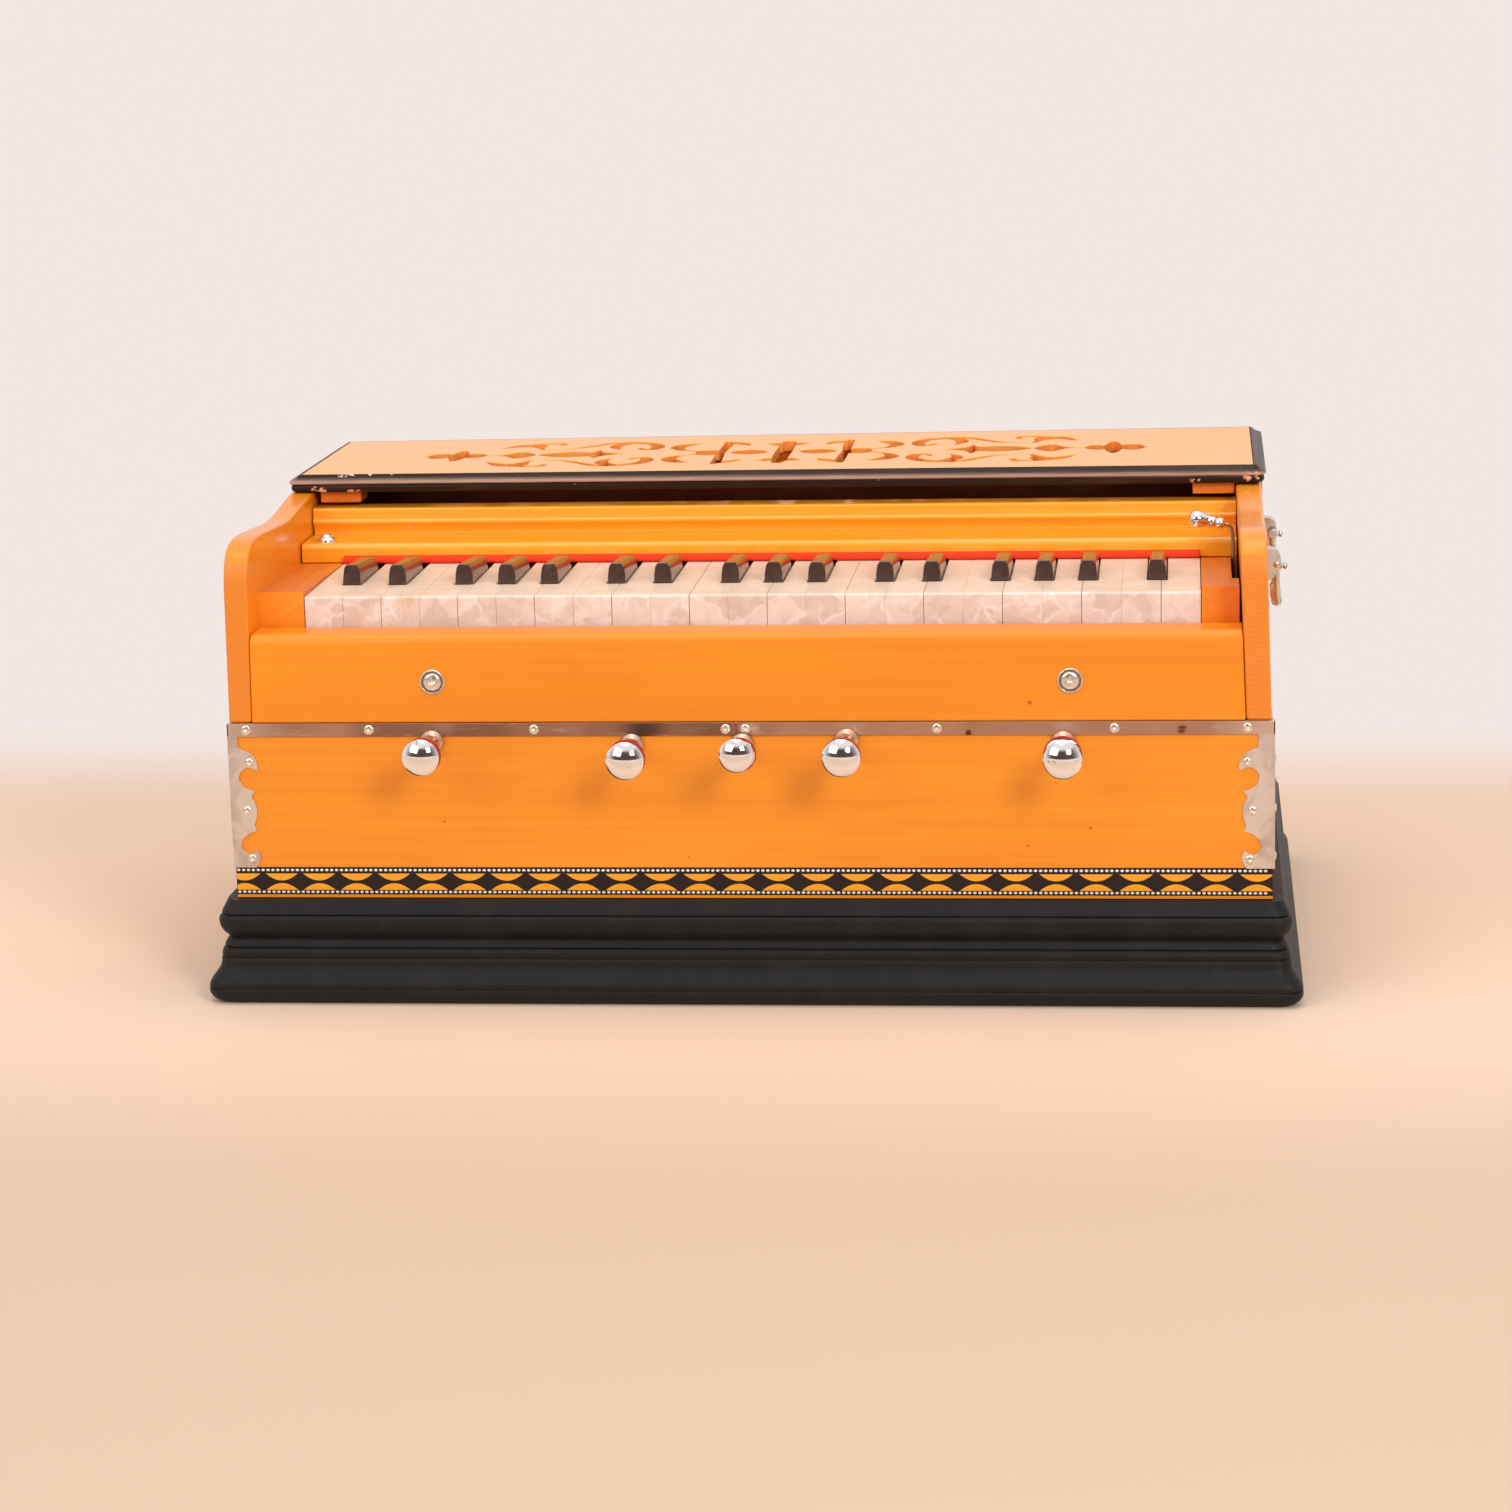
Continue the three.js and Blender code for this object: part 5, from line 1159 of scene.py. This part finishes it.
# The lug's side as [out from the cheek, up from the pivot], with a bore for the eye in its inner part
LUG_DEPTH = 8.4
LUG_BORED = 5.4
LUG_GAP = 2.8
LUG_REACH = 6.0
LUG_SIDE = [
    (-3.4, -8.4), (0.2, -8.3), (2.2, -6.8), (4.4, -3.8), (5.8, -0.8), (6.0, 1.8), (5.8, 4.4), (5.0, 6.6), (3.2, 8.1),
    (0.4, 8.6), (-3.4, 8.5),
]
LUG_STUD = [
    (0.01, 0), (2.4, 0), (2.2, 0.5), (1.4, 0.8), (1.1, 1.2), (1.1, 1.6), (1.7, 2.1), (1.9, 2.8), (1.6, 3.5),
    (0.9, 3.9), (0.01, 4.0),
]
LUG_RIVET = [(0.01, -0.2), (1.9, -0.2), (1.8, 0.3), (1.2, 0.7), (0.01, 0.9)]


def make_lugs():
    """The ears on the cheeks that hold the bails: a flat foot, a rounded ear and a stud."""
    outline = smooth_line(LUG_SIDE, 3)
    turns = [2 * pi * k / 20 for k in range(20)]
    bore = [(BAIL_OUT + BAIL_RADIUS * cos(a), BAIL_RADIUS * sin(a)) for a in turns]
    for side, sign in SIDES:
        middle, pivot = bail_place(side)
        face = Matrix(((sign, 0, 0, sign * SIDE), (0, 0, 1, 0), (0, 1, 0, pivot), (0, 0, 0, 1)))
        piece = Piece()
        for end in (-1, 1):
            near = middle + end * (BAIL_HALF + LUG_GAP)
            inner, far = near + end * LUG_BORED, near + end * LUG_DEPTH
            for y0, y1, holes in ((near, inner, [bore]), (inner, far, [])):
                piece.add(*plate(outline, holes, min(y0, y1), max(y0, y1)), 0, face)
            root = (sign * (SIDE + LUG_REACH - 0.4), (near + far) / 2, pivot - 1.2)
            piece.turned(LUG_STUD, 20, frame_at(root, (sign, 0, 0)))
            piece.turned(LUG_RIVET, 20, frame_at((sign * (SIDE + BAIL_OUT), far, pivot), (0, end, 0)), 1)
        piece.done(f"handle_{side}_lugs", "case", [BAIL_PLATE, REFLECTION_TINTED_PLATE], "chrome", bevel=0.4)


# Keys. The white covers leave less room between them than their sticks do, some nearly none
COVER_SPREAD = (0.31, 0.2)
STICK_TOP = 208.0
COVER_FOOT = STICK_TOP - 3.0
COVER_LAP = 2.4
EBONY_FOOT = 192


def make_keys():
    lap = KEYS_FRONT + COVER_LAP

    def black_face(c, n):
        if c.z > STICK_TOP + 0.05 and c.y > rail_low.y:
            return 2
        if c.y < rail_low.y + 8 and c.z > EBONY_FOOT:
            return 3 if n.y < -0.5 else 0
        return 1

    def white_face(c, n):
        if c.z > STICK_TOP + 0.05 and c.y > rail_low.y - 0.4:
            return 2
        if c.z > COVER_FOOT and c.y < rail_low.y or c.y < lap:
            return 3 if n.y < -0.8 else 0
        return 1

    for number, node in enumerate(WHITES):
        low, high = box(node)

        def spread(p):
            if p.y < rail_low.y + 1:
                right, left = p.x > high.x - 0.3, p.x < low.x + 0.3
                p.x += right * COVER_SPREAD[number % 2] - left * COVER_SPREAD[1 - number % 2]
            return p

        softened(
            node, node, [PEARL, PINE_Y, STEEL, PEARL_FRONT], "pearl_celluloid", pick=white_face, bevel=0.3,
            cuts=[((0, 0, STICK_TOP + 0.9), (0, 0, 1)), ((0, lap, 0), (0, 1, 0)), ((0, rail_low.y, 0), (0, 1, 0))],
            shape=spread,
        )
    for node in BLACKS:
        softened(
            node, node, [EBONY, PINE_Y, STEEL, EBONY_FRONT], "black_key_gloss", pick=black_face,
            bevel=2.2, segments=5, smooth=24,
        )


# Lid: the fretwork's strokes are [reach, rise, half width] and its outlines [reach, half width],
# as shares of the pattern's reach to each side and of its rise from the middle line
FRET_REACH = 214.0
FRET_RISE = 48.6
FRET_EASE = 0.35
STROKES = [
    [(0, 0.62, 0.16), (0.022, 0.63, 0.14), (0.038, 0.66, 0.08), (0.064, 0.69, 0.01)],
    [(0.168, 0, 0.045), (0.164, 0.617, 0.058), (0.166, 0.84, 0.05), (0.168, 0.926, 0.02)],
    [(0.168, 0.823, 0.041), (0.15, 0.782, 0.082), (0.121, 0.679, 0.072), (0.103, 0.556, 0.008)],
    [(0.22, 0.082, 0.051), (0.252, 0.165, 0.027), (0.28, 0.257, 0.051), (0.297, 0.453, 0.088),
     (0.28, 0.638, 0.095), (0.255, 0.73, 0.058), (0.234, 0.761, 0.008)],
    [(0.404, 0.514, 0.01), (0.388, 0.37, 0.049), (0.362, 0.36, 0.066), (0.353, 0.576, 0.08),
     (0.376, 0.802, 0.078), (0.43, 0.916, 0.082), (0.486, 0.895, 0.062), (0.53, 0.7, 0.051),
     (0.575, 0.514, 0.039), (0.626, 0.438, 0.025), (0.666, 0.444, 0.025)],
    [(0.435, 0.885, 0.062), (0.465, 0.741, 0.086), (0.47, 0.535, 0.062), (0.45, 0.35, 0.008)],
    [(0.664, 0.442, 0.025), (0.678, 0.597, 0.049), (0.692, 0.761, 0.134), (0.724, 0.802, 0.123),
     (0.752, 0.71, 0.074), (0.783, 0.545, 0.008)],
    [(0.701, 0.885, 0.072), (0.666, 0.936, 0.058), (0.636, 0.936, 0.053), (0.62, 0.854, 0.045),
     (0.627, 0.751, 0.01)],
]
CENTRE_STROKE = [(0, 0.9, 0.04), (0, 0.82, 0.075), (0, 0.617, 0.09), (0, 0, 0.1)]
OUTLINES = [
    [(0.04, 0.008), (0.056, 0.115), (0.092, 0.191), (0.128, 0.115), (0.145, 0.008)],
    [(0.164, 0.185), (0.206, 0.216), (0.236, 0.154)],
    [(0.425, 0.01), (0.45, 0.05), (0.475, 0.12), (0.492, 0.19), (0.505, 0.35), (0.516, 0.2), (0.545, 0.2),
     (0.575, 0.23), (0.61, 0.2), (0.64, 0.12), (0.664, 0.02)],
    [(0.669, 0.02), (0.68, 0.13), (0.7, 0.24), (0.716, 0.28), (0.731, 0.22), (0.745, 0.12), (0.765, 0.05),
     (0.79, 0.03), (0.806, 0.03)],
    [(0.803, 0.02), (0.815, 0.14), (0.838, 0.2), (0.855, 0.16), (0.866, 0.36), (0.879, 0.45), (0.892, 0.36),
     (0.902, 0.17), (0.92, 0.22), (0.945, 0.2), (0.957, 0.1), (0.966, 0.02), (0.985, 0.004)],
]
STROKE_STEPS = 6


def stroke_loop(stroke, sign_x, sign_y):
    """The closed outline of a brush stroke whose width changes along a smooth line."""
    line = smooth_line([(sign_x * u * FRET_REACH, sign_y * v * FRET_RISE, w * FRET_RISE) for u, v, w in stroke],
                       STROKE_STEPS)
    left, right = [], []
    for k, (x, y, half) in enumerate(line):
        before, after = line[max(k - 1, 0)], line[min(k + 1, len(line) - 1)]
        dx, dy = after[0] - before[0], after[1] - before[1]
        size = hypot(dx, dy)
        left.append((x - dy / size * half, y + dx / size * half))
        right.append((x + dy / size * half, y - dx / size * half))
    return left + right[::-1]


def fret_loops(centre):
    loops = []
    for sign_y in (1, -1):
        loops.append(stroke_loop(CENTRE_STROKE, 1, sign_y))
        for sign_x in (1, -1):
            loops += [stroke_loop(stroke, sign_x, sign_y) for stroke in STROKES]
    for sign in (1, -1):
        for outline in OUTLINES:
            upper = smooth_line([(sign * u * FRET_REACH, w * FRET_RISE) for u, w in outline], 4)
            loops.append(upper + [(x, -y) for x, y in reversed(upper)])
    return [[(x, y + centre) for x, y in loop] for loop in loops]


# The moulding's outer face as [distance out from the panel, height over its underside]
MOULDING_PROFILE = [
    (-8.0, 0.0), (3.4, 0.0), (4.3, 0.2), (5.0, 0.6), (5.5, 1.2), (5.8, 2.0), (5.8, 2.9), (5.6, 3.6), (5.3, 4.1),
    (5.2, 4.4), (5.5, 4.6), (6.1, 4.7), (6.6, 5.0), (6.8, 5.5), (6.75, 6.1), (6.4, 6.6), (5.7, 6.9), (4.7, 7.2),
    (3.7, 7.6), (2.9, 8.1), (2.3, 8.6), (1.9, 9.1), (1.4, 9.4), (1.0, 9.6), (0.15, 9.7),
]
MOULDING_HEIGHT = MOULDING_PROFILE[-1][1]
LID_PANEL_INSET = 6.8
LID_PANEL = 6.0
LID_BACKING = 0.15
# The warp's rise at the back right, back left and front right corner
LID_WARP = (2.8, -0.8, 0.7)
# The blocks' outer end and width, [front, back, how much lower] of each pair, and the batten's front and back
BLOCK_END = 255.4
BLOCK_WIDTH = 23
BLOCK_ROWS = [(lid_low.y + 6.8, lid_low.y + 26.8, 2.8), (95.0, 115.0, 0)]
BATTEN = (lower_high.y + 1.5, lower_high.y + 9.5)


def warped(piece):
    """The lid is a little out of true: its back right corner stands up and its back left lies low."""
    for p in piece.points:
        right = (p.x + lid_high.x) / (2 * lid_high.x)
        back = (p.y - lid_low.y) / (lid_high.y - lid_low.y)
        p.z += back * ((LID_WARP[0] - LID_WARP[1]) * right + LID_WARP[1]) + LID_WARP[2] * right * (1 - back)
    return piece


def make_lid():
    centre = (lid_low.y + lid_high.y) / 2
    half_x = lid_high.x - LID_PANEL_INSET
    half_y = (lid_high.y - lid_low.y) / 2 - LID_PANEL_INSET
    top = lid_high.z
    bottom = top - MOULDING_HEIGHT
    panel_x, panel_y = half_x - LID_BACKING, half_y - LID_BACKING
    outline = [(x * panel_x, centre + y * panel_y) for x, y in ((1, -1), (1, 1), (-1, 1), (-1, -1))]
    panel = Piece()
    panel.add(*plate(outline, fret_loops(centre), top - LID_PANEL, top, FRET_EASE))
    made = warped(panel).done("lid_fretwork_panel", "lid", [WOOD_LID, WOOD_CUT], "lid_wood", ["lid"], smooth=30)
    for face in made.data.polygons:
        if abs(face.normal.z) < 0.5:
            face.material_index = 1
    rim = Piece()
    rings = []
    under_panel = MOULDING_HEIGHT - LID_PANEL - 0.02
    for out, up in MOULDING_PROFILE + [(0, under_panel), (-8, under_panel)]:
        ring = rounded_ring(half_x + out, half_y + out, max(out, 0) * 0.8 + 0.4, bottom + up, 6)
        rings.append([(x, y + centre, z) for x, y, z in ring])
    rim.skin(rings, loop=True)
    warped(rim).done("lid_moulding", "lid", [MOULDING], "lid_wood")
    blocks = Piece()
    for y0, y1, drop in BLOCK_ROWS:
        for sign in (-1, 1):
            x0, x1 = sorted((sign * BLOCK_END, sign * (BLOCK_END - BLOCK_WIDTH)))
            blocks.block((x0, y0, lid_low.z - drop), (x1, y1, top - LID_PANEL))
    blocks.block((-BLOCK_END, BATTEN[0], lid_low.z + 1), (BLOCK_END, BATTEN[1], top - LID_PANEL))
    warped(blocks).done("lid_blocks", "lid", [WOOD_BLOCK], "lid_wood", bevel=0.7)


# Bellows: pleats between the back wall and the pump board, the board and its hooks
PLEATS = 5
PLEAT_DEPTH = 9
PLEAT_CORNER = 6.0
# The rings round each inner and outer fold as [nudge along, tuck]
INNER_FOLD = ((-0.18, PLEAT_DEPTH), (0.18, PLEAT_DEPTH))
OUTER_FOLD = ((-0.35, 0.5), (0.0, 0.0), (0.35, 0.5))
HINGE_AXIS = 156.0
HINGE_RADIUS = 2.3
HOOK_PIVOT = (122, 200)


def rounded_pleat(half_x, half_z, y, middle):
    return [(x, y, middle + z) for x, z, _ in rounded_ring(half_x, half_z, PLEAT_CORNER, 0, 4)]


def make_bellows():
    piece = Piece()
    depth = folds_high.y - folds_low.y
    middle = (folds_low.z + folds_high.z) / 2
    half_x, half_z = folds_high.x, (folds_high.z - folds_low.z) / 2
    rings = []
    steps = PLEATS * 2
    for k in range(steps + 1):
        y = folds_low.y + depth * k / steps
        for nudge, tuck in INNER_FOLD if k % 2 else OUTER_FOLD:
            rings.append(rounded_pleat(half_x - tuck, half_z - tuck, y + nudge, middle))
    rings[0] = [(x, folds_low.y, z) for x, y, z in rings[0]]
    rings = [[(x, min(max(y, folds_low.y), folds_high.y), z) for x, y, z in ring] for ring in rings]
    piece.skin(rings)
    made = piece.done("bellows_pleats", None, [CLOTH, EDGE_LEATHER], "fold_cloth", ["bellows_folds"], smooth=180)
    for face in made.data.polygons:
        centre = face.center / MM
        if abs(centre.x) > half_x - 1.0 or abs(centre.z - middle) > half_z - 1.0:
            face.material_index = 1
    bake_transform(made)


def make_board():
    def board_face(c, n):
        barrel = hypot(c.y - HINGE_AXIS, c.z - BOARD_FOOT - HINGE_RADIUS) < HINGE_RADIUS + 0.06
        return 1 if barrel or abs(c.x) > SIDE + 0.05 else 0

    softened("bellows_board", "bellows", [WOOD_X, BRIGHT_NICKEL], "varnished_wood", board_face, bevel=0.6, smooth=35)
    pins = Piece()
    for side, sign in SIDES:
        softened(f"catch_{side}", f"catch_{side}", [NICKEL], "nickel", bevel=0.3)
        screw_head(pins, (sign * (SIDE + 2.15), *HOOK_PIVOT), (sign, 0, 0), 3.0, turn=0.4)
    pins.done("catch_screws", "case", [BRIGHT_NICKEL], "nickel", smooth=30)


make_plinth()
make_case()
make_band()
make_tape()
make_fixings()
make_stops()
make_lever()
make_handles()
make_lugs()
make_keys()
make_lid()
make_bellows()
make_board()


# Floor, light and camera, in metres
BACKGROUND = (0.89, 0.8, 0.77)
ROOM_FRONT = (0.1, 0.06, 0.045)
AMBIENT = (0.62, 0.59, 0.56)
FLOOR_NEAR = (0.87, 0.66, 0.51)
FLOOR_FRONT_SHADE = (0.68, 0.5, 0.37)
# Where the floor's tones, its painted shade towards the front among them, and its glow set in, by depth and by
# distance from the object
FRONT_SHADE_FADE = (-0.5, -0.17)
BACK_FADE = (0.3, 1.5)
GLOW_DEPTH = (0.28, 0.55)
GLOW_DISTANCE = (1.0, 2.2)
# The dark part of the room, by direction: behind the camera, and below the ceiling
ROOM_EDGE = (-0.75, 0.05)
CEILING_EDGE = (0.5, 0.75)
FLOOR_DROP = 0.0004
FLOOR_REACH = 6.0
FLOOR_BACK = 2.6
FLOOR_RISE = 4.0
FLOOR_CURVE = 1.2
LAMPS = [
    ("window_left", (-1.9, -2.3, 1.8), (0, -0.1, 0.12), (2.2, 1.8), 28),
    ("window_right", (1.4, -2.4, 1.6), (0, -0.1, 0.12), (0.8, 0.9), 34),
    ("top_soft", (0.1, -0.2, 2.3), (0, -0.1, 0.2), (2.0, 1.4), 16),
]


def make_floor():
    """A floor that curves up into a wall, darker towards the front with painted shade. Far off, and for what sees it
    straight, it glows evenly.
    """
    mesh = bpy.data.meshes.new("floor")
    profile = [(-FLOOR_REACH, 0.0)]
    for k in range(13):
        angle = pi / 2 * k / 12
        profile.append((FLOOR_BACK - FLOOR_CURVE * (1 - sin(angle)), FLOOR_CURVE * (1 - cos(angle))))
    profile.append((FLOOR_BACK, FLOOR_RISE))
    points = [(x, y, z - FLOOR_DROP) for y, z in profile for x in (-FLOOR_REACH, FLOOR_REACH)]
    faces = [[2 * k, 2 * k + 1, 2 * k + 3, 2 * k + 2] for k in range(len(profile) - 1)]
    mesh.from_pydata(points, [], faces)
    mesh.shade_smooth()
    look = Look("pale_floor", FLOOR_NEAR, 0.7, Specular_IOR_Level=0.2)
    depth = look.axis(1)
    # Painted shade darkens the floor towards the front.
    near = look.mix(look.under(depth, *FRONT_SHADE_FADE), FLOOR_NEAR, FLOOR_FRONT_SHADE)
    look.color(look.mix(look.between(depth, *BACK_FADE), near, BACKGROUND))
    path = look.node("LightPath").outputs
    seen = look.most(look.most(path["Is Camera Ray"], path["Is Glossy Ray"]), path["Is Transmission Ray"])
    beyond = look.most(look.between(depth, *GLOW_DEPTH), look.between(look.distance(0, 0, 0), *GLOW_DISTANCE))
    backdrop = look.feed(look.node("Emission"), BACKGROUND)
    blend = look.feed(look.node("MixShader"), look.times(seen, beyond), look.shader.outputs[0], backdrop)
    look.link(blend, look.tree.nodes["Material Output"].inputs["Surface"])
    mesh.materials.append(look.material)
    floor = bpy.data.objects.new("floor", mesh)
    bpy.context.scene.collection.objects.link(floor)


def make_light():
    """A pale room. What stands before the instrument is darker in reflections, as a room is."""
    world = bpy.data.worlds.new("studio")
    bpy.context.scene.world = world
    world.use_nodes = True
    world.node_tree.nodes.clear()
    sky = Nodes(world.node_tree)
    way = sky.node("SeparateXYZ")
    sky.link(sky.node("TexCoord").outputs["Generated"], way.inputs[0])
    pale = sky.most(sky.between(way.outputs["Y"], *ROOM_EDGE), sky.between(way.outputs["Z"], *CEILING_EDGE))
    room = sky.mix(pale, ROOM_FRONT, BACKGROUND)
    path = sky.node("LightPath").outputs
    plain = sky.mix(sky.most(path["Is Camera Ray"], path["Is Transmission Ray"]), AMBIENT, BACKGROUND)
    background = sky.feed(sky.node("Background"), sky.mix(path["Is Glossy Ray"], plain, room))
    sky.link(background, sky.node("OutputWorld").inputs["Surface"])
    for name, place, aim, size, power in LAMPS:
        light = bpy.data.lights.new(name, "AREA")
        light.shape = "RECTANGLE"
        light.size, light.size_y = size
        light.energy = power
        lamp = bpy.data.objects.new(name, light)
        lamp.location = place
        lamp.rotation_euler = (Vector(aim) - Vector(place)).to_track_quat("-Z", "Y").to_euler()
        bpy.context.scene.collection.objects.link(lamp)


# The photographed camera: its focal length over the picture's width, its turns in radians and its place
CAMERA_FOCAL = 4042.883 / 1512
CAMERA_TURNS = (-0.108, -0.2144, -0.025)
CAMERA_PLACE = (0.2275955, -2.2006447, 0.5788812)
SENSOR = 36.0


def make_camera():
    camera = bpy.data.cameras.new("camera")
    camera.sensor_width = SENSOR
    camera.sensor_fit = "HORIZONTAL"
    camera.lens = CAMERA_FOCAL * SENSOR
    camera.clip_start = 0.05
    camera.clip_end = 50
    yaw, pitch, roll = CAMERA_TURNS
    ahead = Vector((sin(yaw) * cos(pitch), cos(yaw) * cos(pitch), sin(pitch)))
    right = Vector((cos(yaw), -sin(yaw), 0))
    up = right.cross(ahead)
    tilted_right = cos(roll) * right + sin(roll) * up
    tilted_up = -sin(roll) * right + cos(roll) * up
    turn = Matrix((tilted_right, tilted_up, -ahead)).transposed()
    eye = bpy.data.objects.new("camera", camera)
    eye.matrix_world = Matrix.Translation(CAMERA_PLACE) @ turn.to_4x4()
    bpy.context.scene.collection.objects.link(eye)
    bpy.context.scene.camera = eye


make_floor()
make_light()
make_camera()
bpy.context.scene.view_settings.view_transform = "Standard"
